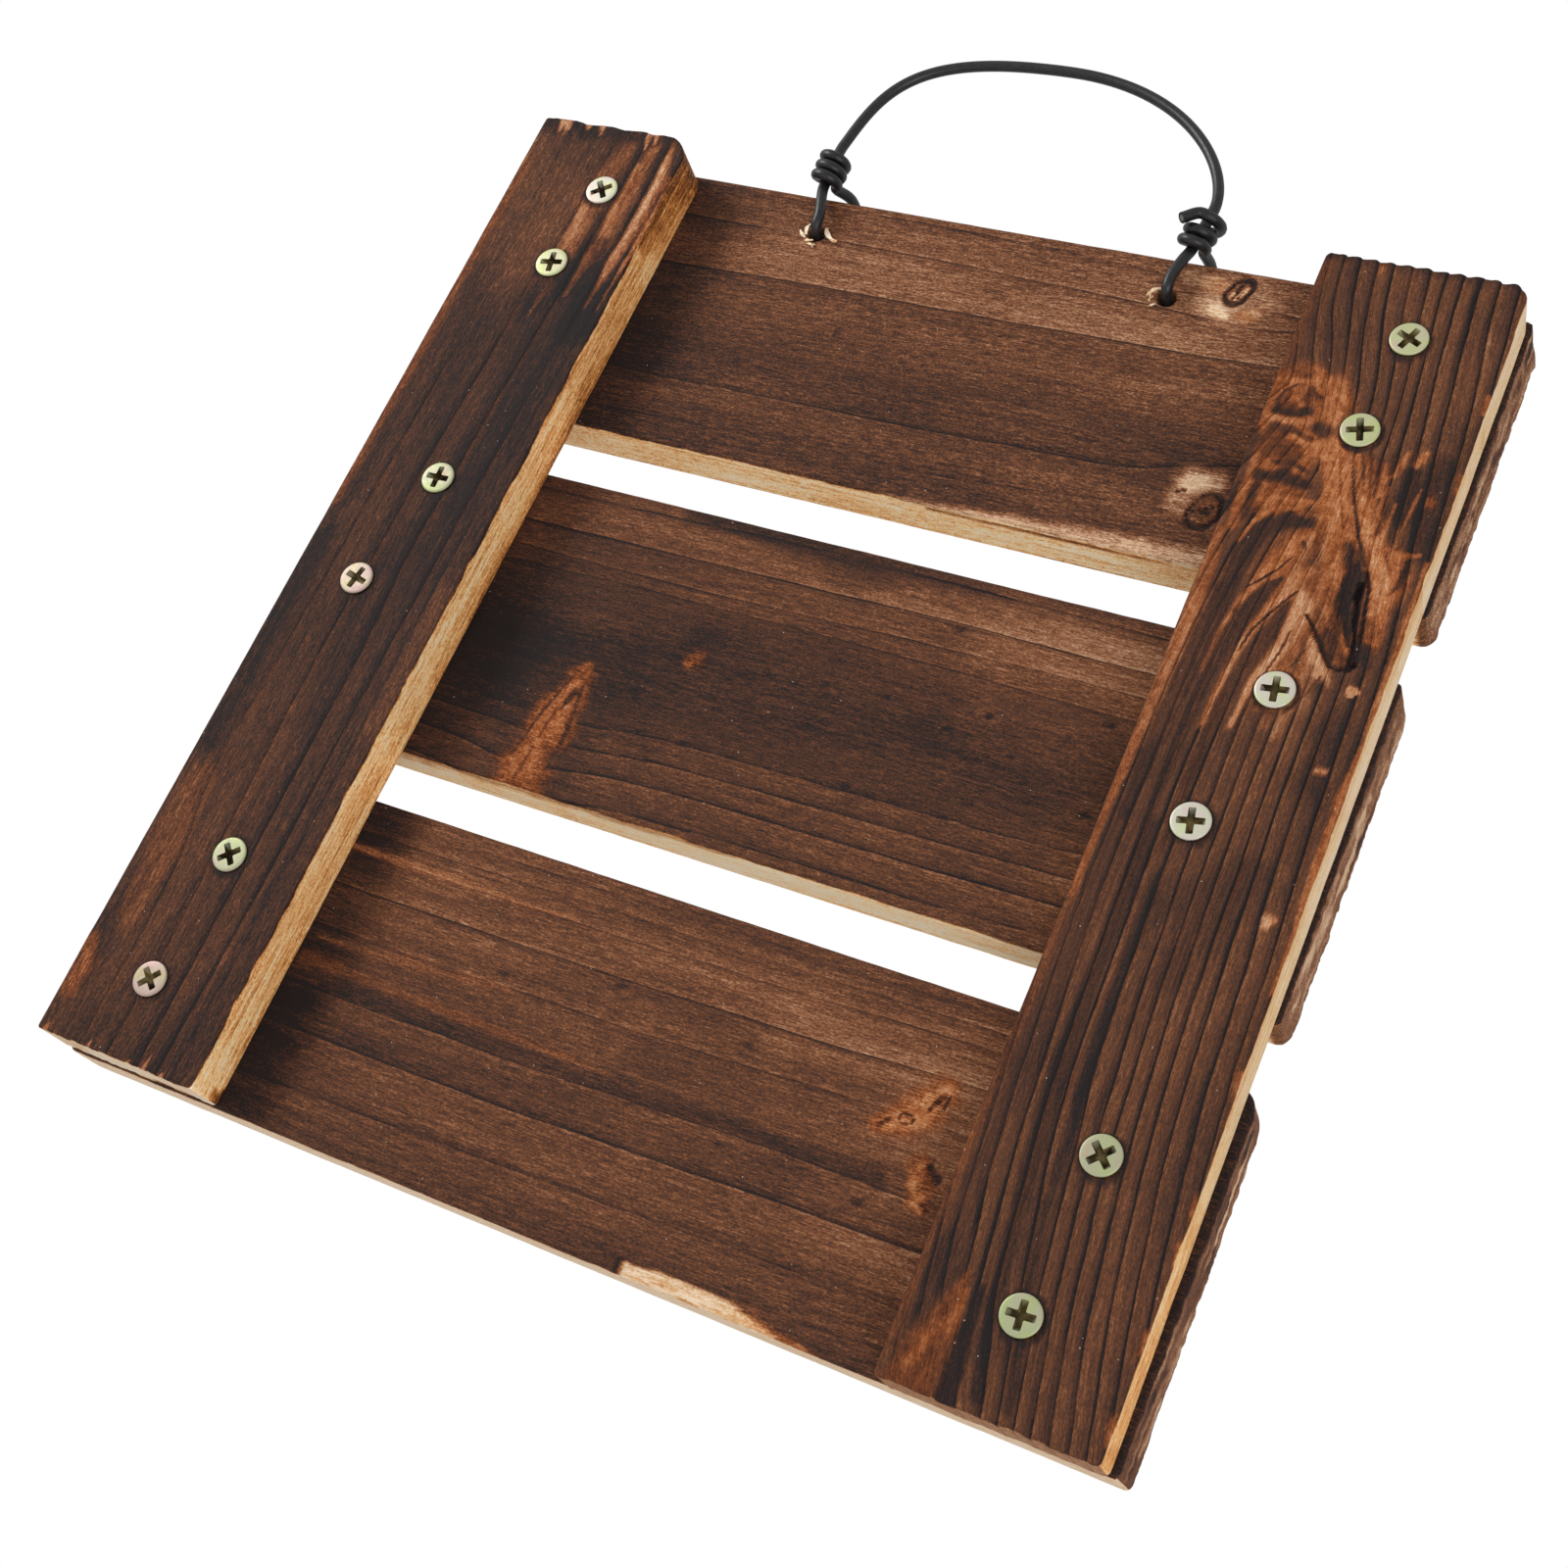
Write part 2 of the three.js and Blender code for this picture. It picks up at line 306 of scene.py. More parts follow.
class Graph:
    """A material's node tree with short calls for its usual nodes."""

    def __init__(self, name: str) -> None:
        """Starts a material.

        Args:
            name: The material's name.
        """
        self.material = bpy.data.materials.new(name)
        self.material.use_nodes = True
        self.tree = self.material.node_tree
        self.shader = self.tree.nodes["Principled BSDF"]

    def node(self, kind: str, inputs: dict[str, object] | None = None, **settings: object) -> bpy.types.Node:
        """Adds a node.

        Args:
            kind: Its type without the ShaderNode prefix.
            inputs: Values or links for its inputs.
            **settings: Properties of the node.

        Returns:
            The node.
        """
        made = self.tree.nodes.new(f"ShaderNode{kind}")
        for name, value in settings.items():
            setattr(made, name, value)
        for name, value in (inputs or {}).items():
            self.feed(made.inputs[name], value)
        return made

    def feed(self, socket: Socket, value: object) -> None:
        """Links a socket to another, or sets its value.

        Args:
            socket: The input.
            value: An output socket or a plain value.
        """
        if isinstance(value, Socket):
            self.tree.links.new(value, socket)
        else:
            socket.default_value = value

    def surface(self, name: str, value: object) -> None:
        """Links or sets one of the shader's inputs."""
        self.feed(self.shader.inputs[name], value)

    def math(self, kind: str, *values: object, clamp: bool = False) -> Socket:
        """A math node.

        Args:
            kind: The operation.
            *values: Its inputs, sockets or numbers.
            clamp: Whether the result stays between 0 and 1.

        Returns:
            The result.
        """
        made = self.node("Math", operation=kind, use_clamp=clamp)
        for socket, value in zip(made.inputs, values):
            self.feed(socket, value)
        return made.outputs[0]

    def step(self, value: object, low: float, high: float) -> Socket:
        """A smooth step from 0 where the value is low to 1 where it is high."""
        inputs = {"Value": value, "From Min": low, "From Max": high}
        return self.node("MapRange", inputs, interpolation_type="SMOOTHSTEP").outputs["Result"]

    def colours(self, value: object, stops: Stops) -> Socket:
        """A colour ramp.

        Args:
            value: The input.
            stops: Places and colours.

        Returns:
            The colour.
        """
        made = self.node("ValToRGB")
        elements = made.color_ramp.elements
        while len(elements) < len(stops):
            elements.new(0.5)
        for element, (place, colour) in zip(elements, stops):
            element.position = place
            element.color = (*colour, 1)
        self.feed(made.inputs[0], value)
        return made.outputs[0]

    def mix(self, share: object, first: object, second: object) -> Socket:
        """A mix of two colours.

        Args:
            share: How much of the second one.
            first: The first colour.
            second: The second colour.

        Returns:
            The mixed colour.
        """
        made = self.node("Mix", data_type="RGBA")
        for socket, value in zip((made.inputs[0], made.inputs[6], made.inputs[7]), (share, first, second)):
            self.feed(socket, (*value, 1) if isinstance(value, tuple) else value)
        return made.outputs[2]

    def stretched(self, scale: Triple, shift: float = 0.0, name: str = "") -> Socket:
        """Coordinates stretched for a texture.

        Args:
            scale: Texture cells per unit along each axis.
            shift: A shift, so that pieces differ.
            name: A stored attribute to read; without one, the object's coordinates.

        Returns:
            The coordinates.
        """
        place = self.value(name, "Vector") if name else self.node("TexCoord").outputs["Object"]
        inputs = {"Scale": scale, "Location": (shift, shift * 1.7, shift * 0.6), "Vector": place}
        return self.node("Mapping", inputs).outputs["Vector"]

    def noise(self, vector: object, detail: float = 2.0, rough: float = 0.5) -> Socket:
        """Noise centred on 0, about half a unit to either side, with its octaves and their roughness."""
        made = self.node("TexNoise", {"Scale": 1.0, "Detail": detail, "Roughness": rough, "Vector": vector})
        return self.math("SUBTRACT", made.outputs[0], 0.5)

    def value(self, name: str, output: str = "Fac") -> Socket:
        """One output of a stored attribute."""
        return self.node("Attribute", attribute_name=name).outputs[output]

    def bump(self, height: object, distance: float, strength: float) -> None:
        """Feeds a fine bump to the shader, with its size in metres and how much of it shows."""
        made = self.node("Bump", {"Strength": strength, "Distance": distance, "Height": height})
        self.surface("Normal", made.outputs["Normal"])


# The wood ramps give its colours as seen: its own colour plus a faint painted reflection of the white room,
# which lifts the darkest stops
CHARRED: Stops = (
    (0.00, (0.61, 0.41, 0.26)),
    (0.12, (0.47, 0.268, 0.155)),
    (0.28, (0.32, 0.157, 0.086)),
    (0.42, (0.224, 0.091, 0.042)),
    (0.55, (0.1375, 0.0505, 0.0227)),
    (0.65, (0.094, 0.0388, 0.0217)),
    (0.75, (0.0667, 0.0283, 0.0170)),
    (0.87, (0.0400, 0.0196, 0.0145)),
    (1.00, (0.0170, 0.0130, 0.0130)),
)
AMBER: Stops = (
    (0.00, (0.62, 0.40, 0.22)),
    (0.18, (0.48, 0.21, 0.085)),
    (0.36, (0.345, 0.112, 0.037)),
    (0.52, (0.210, 0.055, 0.0145)),
    (0.68, (0.115, 0.033, 0.0120)),
    (0.84, (0.042, 0.0145, 0.0075)),
    (1.00, (0.014, 0.010, 0.009)),
)
RAW: Stops = (
    (0.00, (0.92, 0.82, 0.66)),
    (0.16, (0.97, 0.76, 0.46)),
    (0.28, (0.97, 0.63, 0.28)),
    (0.40, (0.86, 0.41, 0.14)),
    (0.54, (0.62, 0.24, 0.062)),
    (0.68, (0.33, 0.105, 0.024)),
    (0.82, (0.12, 0.043, 0.016)),
    (1.00, (0.026, 0.016, 0.012)),
)
DUST: Colour = (0.60, 0.47, 0.35)
SHEEN: Stops = (
    (0.10, (1.00, 0.75, 0.76)),
    (0.34, (0.93, 0.88, 0.95)),
    (0.55, (0.88, 0.93, 0.85)),
    (0.75, (0.86, 0.96, 0.67)),
    (0.95, (0.96, 0.87, 0.78)),
)
# Painted shade for the screws' cross recess: dark brown, with olive-gold painted reflections for its walls
RECESS_SHADE_STOPS: Stops = ((0.42, (0.03, 0.02, 0.008)), (0.62, (0.20, 0.15, 0.06)))
COATING: Stops = ((0.3, (0.004, 0.004, 0.005)), (0.7, (0.012, 0.012, 0.013)))
FIBRE: Stops = ((0.2, (0.50, 0.24, 0.09)), (0.45, (0.80, 0.60, 0.38)), (0.8, (0.92, 0.80, 0.63)))


@dataclass(frozen=True)
class CharredWood:
    """Burnt and brushed softwood, driven by what each point of a plank stores."""

    seed: float
    core_dark: float = 0.26
    tail_dark: float = 0.16
    line_core: float = 0.27
    line_tail: float = 3.2
    # Strength of the thin painted highlight beside each line
    ridge_highlight: float = 0.08
    grit: float = 1.6

    def material(self, name: str) -> bpy.types.Material:
        """Builds the material.

        Args:
            name: Its name.

        Returns:
            The material.
        """
        g = Graph(name)
        fibre = self._weave(g, across=0.26, along=3.2, shift=0.0, detail=3, rough=0.65)
        speck = self._weave(g, across=0.30, along=0.7, shift=5.0, detail=2, rough=0.6)
        cloud = self._weave(g, across=8.0, along=38.0, shift=9.0, detail=3, rough=0.55)
        streak = self._weave(g, across=0.8, along=30.0, shift=13.0, detail=2, rough=0.55)
        burn = g.math("ADD", g.value("burn"), self._lines(g, fibre, streak))
        shares = (0.58 * self.grit, 0.50 * self.grit, 0.30, 0.34)
        for noise, share in zip((fibre, speck, cloud, streak), shares):
            burn = g.math("MULTIPLY_ADD", noise, share, burn)
        mottle = g.noise(g.stretched((620, 620, 620), self.seed + 17), 3, 0.62)
        burn = g.math("MULTIPLY_ADD", g.math("MULTIPLY", mottle, g.value("amber")), 0.62, burn)
        burn = g.math("MULTIPLY_ADD", g.math("MULTIPLY", streak, g.value("raw")), 0.36, burn)
        burn = g.math("MAXIMUM", burn, 0.0, clamp=True)
        stray = g.math("ADD", g.math("MULTIPLY", fibre, 1.6), g.math("MULTIPLY_ADD", streak, 1.4, 1.0))
        amber = g.math("MULTIPLY", g.value("amber"), stray, clamp=True)
        colour = g.mix(amber, g.colours(burn, CHARRED), g.colours(burn, AMBER))
        colour = g.mix(g.value("raw"), colour, g.colours(burn, RAW))
        colour = g.mix(self._dust(g), colour, DUST)
        g.surface("Base Color", colour)
        g.surface("Roughness", g.math("MULTIPLY_ADD", burn, -0.16, 0.72))
        # Kept low, since the ramps' dark stops already hold a painted reflection
        g.surface("Specular IOR Level", 0.06)
        height = g.math("ADD", g.math("MULTIPLY", fibre, 0.9), g.math("MULTIPLY", speck, 0.8))
        g.bump(height, distance=0.0004, strength=0.6)
        return g.material

    def _weave(self, g: Graph, across: float, along: float, shift: float, detail: float,
               rough: float) -> Socket:
        """Noise drawn out along the grain, round the knots too, with its sizes in mm."""
        place = g.stretched((1 / across, 1 / along, 1 / across), self.seed + shift, "weave")
        return g.noise(place, detail, rough)

    def _lines(self, g: Graph, fibre: Socket, streak: Socket) -> Socket:
        """Dark late wood, soft on its inner side and sharp on its outer one, with a thin painted highlight
        just past each line's sharp side where a raised ridge would catch the light.

        Args:
            g: The material's graph.
            fibre: Noise that roughens the lines.
            streak: Noise that makes them stronger and weaker.

        Returns:
            How much the lines add to the burn.
        """
        ring = g.node("SeparateXYZ", {"Vector": g.value("ring", "Vector")})
        turn = g.math("ARCTAN2", ring.outputs["Y"], ring.outputs["X"])
        share = g.math("FRACT", g.math("DIVIDE", turn, 2 * math.pi))
        inner = g.math("MULTIPLY", share, ring.outputs["Z"])
        outer = g.math("SUBTRACT", ring.outputs["Z"], inner)
        outer = g.math("MULTIPLY_ADD", fibre, 0.8, outer)
        core = g.step(outer, self.line_core * 2.4, self.line_core * 0.5)
        tail = g.math("POWER", g.step(outer, self.line_tail, -0.4), 1.6)
        fresh = g.step(inner, 2.4, 0.2)
        # Painted highlight: a thin light band just past each line's sharp side, as on a lit ridge flank
        edge = g.step(g.math("MULTIPLY_ADD", fibre, 0.7, inner), 0.8, 0.2)
        dark = g.math("MULTIPLY_ADD", core, self.core_dark, g.math("MULTIPLY", tail, self.tail_dark))
        dark = g.math("MULTIPLY_ADD", fresh, -0.06, dark)
        dark = g.math("MULTIPLY_ADD", edge, -self.ridge_highlight, dark)
        power = g.math("MULTIPLY_ADD", streak, 1.8, 0.95)
        return g.math("MULTIPLY", g.math("MULTIPLY", dark, power), g.value("late"))

    def _dust(self, g: Graph) -> Socket:
        """Sparse pale specks left by the brush.

        Args:
            g: The material's graph.

        Returns:
            Where they show.
        """
        cells = g.node("TexVoronoi", {"Scale": 1.0, "Vector": g.stretched((430, 430, 430), self.seed + 21)})
        kept = g.node("SeparateXYZ", {"Vector": cells.outputs["Color"]})
        spot = g.step(cells.outputs["Distance"], 0.065, 0.03)
        few = g.math("MULTIPLY_ADD", g.value("amber"), 0.25, kept.outputs["X"])
        return g.math("MULTIPLY", spot, g.step(few, 0.66, 0.84))


class Plating(Enum):
    """The tint that one screw's zinc has taken."""

    SILVER = (0.60, 0.57, 0.46)
    STRAW = (0.53, 0.51, 0.32)
    OLIVE = (0.41, 0.41, 0.26)
    ROSE = (0.45, 0.34, 0.28)


@dataclass(frozen=True)
class YellowZinc:
    """Bright zinc plating, iridescent over each screw's own tint."""

    seed: float = 3.0
    roughness: float = 0.50

    def material(self, name: str) -> bpy.types.Material:
        """Builds the material.

        Args:
            name: Its name.

        Returns:
            The material.
        """
        g = Graph(name)
        tint = g.noise(g.stretched((260, 260, 260), self.seed + 2), 2, 0.55)
        worn = g.noise(g.stretched((1500, 1500, 1500), self.seed + 4), 3, 0.6)
        sheen = g.colours(g.math("MULTIPLY_ADD", tint, 1.5, 0.5, clamp=True), SHEEN)
        plated = g.node("VectorMath", operation="MULTIPLY")
        g.feed(plated.inputs[0], g.value("plating", "Vector"))
        g.feed(plated.inputs[1], sheen)
        # The cross recess takes painted shade and reflections, with less metal and specular
        recess_shade_share = g.value("recess_shade")
        recess_colour = g.colours(g.math("ADD", tint, 0.5), RECESS_SHADE_STOPS)
        g.surface("Base Color", g.mix(recess_shade_share, plated.outputs["Vector"], recess_colour))
        g.surface("Metallic", g.math("MULTIPLY_ADD", recess_shade_share, -0.3, 0.45))
        g.surface("Specular IOR Level", g.math("MULTIPLY_ADD", recess_shade_share, -0.4, 0.5))
        g.surface("Roughness", g.math("MULTIPLY_ADD", worn, 0.22, self.roughness))
        g.bump(worn, distance=0.00012, strength=0.35)
        return g.material


@dataclass(frozen=True)
class BlackCoating:
    """Satin black plastic with faint scuffs."""

    roughness: float = 0.42

    def material(self, name: str) -> bpy.types.Material:
        """Builds the material.

        Args:
            name: Its name.

        Returns:
            The material.
        """
        g = Graph(name)
        scuff = g.noise(g.stretched((700, 700, 700), 2.0), 4, 0.65)
        g.surface("Base Color", g.colours(g.math("ADD", scuff, 0.5, clamp=True), COATING))
        g.surface("Roughness", g.math("MULTIPLY_ADD", scuff, 0.3, self.roughness))
        g.surface("Specular IOR Level", 0.42)
        g.bump(scuff, distance=0.0002, strength=0.25)
        return g.material


@dataclass(frozen=True)
class DrawnSteel:
    """Dull drawn steel wire."""

    roughness: float = 0.45

    def material(self, name: str) -> bpy.types.Material:
        """Builds the material.

        Args:
            name: Its name.

        Returns:
            The material.
        """
        g = Graph(name)
        g.surface("Base Color", (0.30, 0.29, 0.27, 1))
        g.surface("Metallic", 1.0)
        g.surface("Roughness", self.roughness)
        return g.material


@dataclass(frozen=True)
class TornFibre:
    """Pale wood fibre torn up by a drill, with browner spots."""

    seed: float = 5.0

    def material(self, name: str) -> bpy.types.Material:
        """Builds the material.

        Args:
            name: Its name.

        Returns:
            The material.
        """
        g = Graph(name)
        tone = g.noise(g.stretched((480, 480, 480), self.seed), 3, 0.6)
        share = g.math("MULTIPLY_ADD", tone, 1.6, 0.5, clamp=True)
        g.surface("Base Color", g.colours(share, FIBRE))
        g.surface("Roughness", 0.7)
        g.surface("Specular IOR Level", 0.2)
        g.bump(tone, distance=0.0002, strength=0.3)
        return g.material


# Growth rings


class Rings(Protocol):
    """Where a point lies between two lines of late wood."""

    def read(self, along: Array, across: Array) -> tuple[Array, Array, Array, Array]:
        """Phase from 0 to 1 towards the outer line, spacing in mm, strength of that line, and flow in mm."""


@dataclass(frozen=True)
class Line:
    """One line of late wood across a plank's face."""

    knots: tuple[Point, ...]
    strength: float = 1.0


@dataclass(frozen=True)
class SawnRings:
    """Late wood lines drawn one by one, with their sharp sides away from the heart."""

    lines: tuple[Line, ...]
    heart: float
    wobble: float = 0.22
    seed: int = 1
    outer_gap: float = 14.0
    heart_start: float = 0.15
    closest: float = 0.4

    def read(self, along: Array, across: Array) -> tuple[Array, Array, Array, Array]:
        """Reads the rings.

        Args:
            along: Places along the grain, in mm.
            across: Places across it.

        Returns:
            Phase, spacing, strength and flow.
        """
        noise = Noise(self.seed)
        rows = [smooth_line(line.knots, along) for line in self.lines]
        rows = [row + self.wobble * noise.rough(along / 22 + 9 * k, np.full_like(along, 3.7 * k))
                for k, row in enumerate(rows)]
        rows = np.array([rows[0] - self.outer_gap, *rows, rows[-1] + self.outer_gap])
        power = np.array([0.0, *(line.strength for line in self.lines), 0.0])
        above = np.clip((rows <= across).sum(0), 1, len(rows) - 1)
        pick = np.arange(len(along))
        low, high = rows[above - 1, pick], rows[above, pick]
        outward = across > self.heart
        has_heart = (low < self.heart) & (high > self.heart)
        start = np.where(has_heart, self.heart, np.where(outward, low, high))
        end = np.where(outward, high, low)
        phase = np.clip(np.abs(across - start) / np.maximum(np.abs(end - start), 1e-6), 0, 1)
        whole = np.where(has_heart, 1 - self.heart_start, 1.0)
        phase = np.where(has_heart, self.heart_start + whole * phase, phase)
        spacing = np.maximum(np.abs(end - start), self.closest) / whole
        flow = across - smooth_line(self.lines[len(self.lines) // 2].knots, along)
        return phase, spacing, np.where(outward, power[above], power[above - 1]), flow


@dataclass(frozen=True)
class KnotRings:
    """Close rings that part round a spike knot and fan out below it."""

    spacing: float
    start: float
    axis: tuple[Point, ...]
    drift: tuple[Point, ...]
    pushes: tuple[tuple[float, float, float, float, float], ...] = ()
    wobble: float = 0.35
    bunch: float = 0.8
    seed: int = 4

    def read(self, along: Array, across: Array) -> tuple[Array, Array, Array, Array]:
        """Reads the rings.

        Args:
            along: Places up the batten, in mm.
            across: Places across it.

        Returns:
            Phase, spacing, strength and flow.
        """
        noise = Noise(self.seed)
        flow = across - self.start - smooth_line(self.drift, along)
        flow = flow + self.wobble * noise.rough(along / 30, across / 9)
        flow = flow + self.bunch * noise.rough(along / 190, across / 6.5, 2)
        for right, up, wide, high, amount in self.pushes:
            flow = flow - amount * np.exp(-((across - right) / wide) ** 2 - ((along - up) / high) ** 2)
        for up, right in self.axis:
            angle = np.arctan2(across - right, along - up)
            flow = flow - self.spacing * angle / (2 * math.pi)
        phase = np.mod(flow / self.spacing, 1.0)
        ring = np.floor(flow / self.spacing).astype(int)
        power = 0.75 + 0.3 * noise.lattice[np.mod(ring, 200), 7]
        return phase, np.full_like(along, self.spacing), power, flow


# Marks on the wood


@dataclass(frozen=True)
class Mark:
    """A soft patch, streak or band along a few points, each with its half width in mm."""

    points: tuple[Spot, ...]
    burn: float | None = None
    amber: float | None = None
    raw: float | None = None
    late: float | None = None
    soft: float = 1.4
    ragged: float = 0.5
    share: float = 1.0
    depth: float = 0.0
    add: float = 0.0

    def cover(self, x: Array, z: Array, fray: Array) -> Array:
        """How much the mark covers each place.

        Args:
            x: Places along X, in mm.
            z: Places along Z.
            fray: Noise that frays the mark's edge.

        Returns:
            Cover from 0 to 1.
        """
        xs, zs, half = np.array(self.points).T
        reach = half.max() * (1.6 + self.soft)
        near = (x > xs.min() - reach) & (x < xs.max() + reach)
        near &= (z > zs.min() - reach) & (z < zs.max() + reach)
        px, pz = x[near], z[near]
        best = np.full(px.shape, 1e3)
        spans = list(zip(self.points, self.points[1:])) or [(self.points[0], self.points[0])]
        for (ax, az, aw), (bx, bz, bw) in spans:
            dx, dz = bx - ax, bz - az
            t = np.clip(((px - ax) * dx + (pz - az) * dz) / max(dx * dx + dz * dz, 1e-9), 0, 1)
            far = np.hypot(px - ax - t * dx, pz - az - t * dz) / (aw + t * (bw - aw))
            best = np.minimum(best, far)
        best = best + self.ragged * fray[near]
        cover = np.zeros_like(x)
        cover[near] = self.share * ramp(1.0 + self.soft / 2, 1.0 - self.soft / 2, best)
        return cover


@dataclass(frozen=True)
class Fields:
    """What each point of a plank stores for its material, and its height."""

    burn: Array
    amber: Array
    raw: Array
    late: Array
    height: Array

    def paint(self, mark: Mark, cover: Array) -> None:
        """Lays one mark over the fields.

        Args:
            mark: The mark.
            cover: Its cover.
        """
        for name in LAYERS:
            target = getattr(mark, name)
            if target is not None:
                values = getattr(self, name)
                values += (target - values) * cover
        # The added tone is the wood's own in most marks and painted shade in some
        self.burn[:] += mark.add * cover
        self.height[:] -= mark.depth * cover


# Planks


@dataclass(frozen=True)
class Bore:
    """A hole from the front: for a screw if it has a head, else straight through."""

    x: float
    z: float
    shank: float
    head: float = 0.0
    face: float = 0.0
    rim: float = 0.4
    end: float = 0.0


@dataclass
class Plank:
    """One board, with its outline, its grain, its burn and its wear."""

    node: str
    slot: str
    grain: Grain
    rings: Rings
    tone: tuple[Point, ...]
    marks: tuple[Mark, ...]
    sides: dict[Side, tuple[float, float]]
    bores: tuple[Bore, ...]
    finish: CharredWood
    corners: tuple[float, float, float, float] = (3.0, 3.0, 3.0, 3.0)
    arris: float = 1.0
    cells: tuple[int, int, int] = (260, 120, 14)
    dense: tuple[float, float, int] = (-10.0, 10.0, 20)
    edge_lines: tuple[float, ...] = (0.0, 0.22, 0.5, 0.85, 1.3)
    edge_full: float = 9.0
    ridge: float = 0.28
    end_wear: float = 0.22
    end_cell: float = 1.6
    lean: tuple[float, float] = (0.0, 0.0)
    tear: float = 0.16
    scorch: float = 0.35
    side_wear: float = 0.07
    side_cell: float = 6.0
    wear_reach: float = 2.2
    fuzz: float = 0.025
    drill_sides: int = 40
    drill_start: float = 2.0
    drill_past: float = 3.0
    scallop: float = 0.0
    side_marks: dict[Side, tuple[Mark, ...]] = field(default_factory=dict)
    seed: int = 1
    noise: Noise = field(init=False)

    def __post_init__(self) -> None:
        """Takes the outline from the CAD node and draws the noise."""
        low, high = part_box(self.node)
        self.low, self.high = np.array(low) / MM, np.array(high) / MM
        self.noise = Noise(self.seed)

    def build(self) -> Piece:
        """Models the board.

        Returns:
            The finished piece.
        """
        piece = self._blank()
        self._drill(piece)
        self._wear(piece)
        smooth(piece, degrees=50)
        coat(piece, self.finish.material(f"{self.node}_wood"))
        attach(piece, "board")
        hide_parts(self.node)
        return piece

    def _blank(self) -> Piece:
        """A fine closed grid of the board's size, with round corners and edges.

        Returns:
            The blank.
        """
        deselect()
        across, up, deep = self.cells
        bpy.ops.mesh.primitive_grid_add(x_subdivisions=across, y_subdivisions=up, size=1.0)
        piece = bpy.context.object
        piece.name = f"{self.node}_board"
        apply_modifier(piece, "SOLIDIFY", thickness=1.0, offset=0.0)
        mesh = piece.data
        raw = points_of(mesh) * MM
        ends = np.empty(len(mesh.edges) * 2, int)
        mesh.edges.foreach_get("vertices", ends)
        rise = raw[ends.reshape(-1, 2), 2]
        take(piece)
        edit(True)
        bpy.ops.mesh.select_mode(type="EDGE")
        bpy.ops.mesh.select_all(action="DESELECT")
        edit(False)
        mesh.edges.foreach_set("select", np.abs(rise[:, 0] - rise[:, 1]) > 0.5)
        edit(True)
        bpy.ops.mesh.subdivide(number_cuts=deep)
        edit(False)
        move_points(mesh, self._rounded(points_of(mesh) * MM + 0.5))
        return piece

    def _spread(self, share: Array, axis: int, cells: int) -> Array:
        """Grid lines along one axis, closer at the edges.

        Args:
            share: Place from 0 to 1.
            axis: The axis.
            cells: Cells along it.

        Returns:
            The place in mm.
        """
        length = self.high[axis] - self.low[axis]
        fine = np.array(self.edge_lines) * min(1.0, length / self.edge_full)
        last = len(fine) - 1
        steps = np.concatenate([np.arange(last + 1), cells - np.arange(last, -1, -1)])
        places = np.concatenate([fine, length - fine[::-1]])
        if axis == self.grain.value:
            start, end, count = self.dense
            start, end = start - self.low[axis], end - self.low[axis]
            sparse = length - 2 * fine[-1] - end + start
            below = round((cells - count - 2 * last) * (start - fine[-1]) / sparse) + last
            steps = np.insert(steps, last + 1, (below, below + count))
            places = np.insert(places, last + 1, (start, end))
        return self.low[axis] + np.interp(share * cells, steps, places)

    def _rounded(self, share: Array) -> Array:
        """Maps the unit block to the board, rounding its corners and edges.

        Args:
            share: Points of the block, from 0 to 1.

        Returns:
            Points of the board in mm.
        """
        across, up, deep = self.cells
        x = self._spread(share[:, 0], 0, across)
        z = self._spread(share[:, 1], 2, up)
        y = self._spread(1 - share[:, 2], 1, deep + 1)
        in_x = np.minimum(x - self.low[0], self.high[0] - x)
        in_z = np.minimum(z - self.low[2], self.high[2] - z)
        sign_x = np.where(x < (self.low[0] + self.high[0]) / 2, 1.0, -1.0)
        lower = z < (self.low[2] + self.high[2]) / 2
        sign_z = np.where(lower, 1.0, -1.0)
        top_left, top_right, foot_left, foot_right = self.corners
        left, right = np.where(lower, foot_left, top_left), np.where(lower, foot_right, top_right)
        radius = np.where(sign_x > 0, left, right)
        inset = np.minimum(in_x, in_z)
        dx, dz = np.maximum(radius - in_x, 0), np.maximum(radius - in_z, 0)
        size = np.maximum(np.hypot(dx, dz), 1e-9)
        corner = (dx > 0) & (dz > 0)
        keep = np.where(corner, np.maximum(dx, dz) / size, 1.0)
        x = x + sign_x * dx * (1 - keep)
        z = z + sign_z * dz * (1 - keep)
        inward_x = np.where(corner, dx / size, (in_x <= in_z).astype(float)) * sign_x
        inward_z = np.where(corner, dz / size, (in_x > in_z).astype(float)) * sign_z
        depth = np.minimum(y - self.low[1], self.high[1] - y)
        sign_y = np.where(y < (self.low[1] + self.high[1]) / 2, 1.0, -1.0)
        de, df = np.maximum(self.arris - inset, 0), np.maximum(self.arris - depth, 0)
        far = np.maximum(np.hypot(de, df), 1e-9)
        pull = np.where((de > 0) & (df > 0), 1 - np.maximum(de, df) / far, 0.0)
        x = x + inward_x * de * pull
        z = z + inward_z * de * pull
        y = y + sign_y * df * pull
        return np.stack([x, y, z], 1)

    def _drill(self, piece: Piece) -> None:
        """Cuts the holes.

        Args:
            piece: The board.
        """
        for bore in self.bores:
            if bore.head:
                back = bore.face + bore.rim + bore.head - bore.shank
                profile = ((bore.head, bore.face - self.drill_start), (bore.head, bore.face + bore.rim),
                           (bore.shank, back), (bore.shank, bore.end))
            else:
                start, end = self.low[1] - self.drill_past, self.high[1] + self.drill_past
                profile = ((bore.shank, start), (bore.shank, end))
            tool = turned("drill", profile, self.drill_sides)
            tool.location = (bore.x * MM, 0, bore.z * MM)
            settle(tool)
            cut(piece, tool)

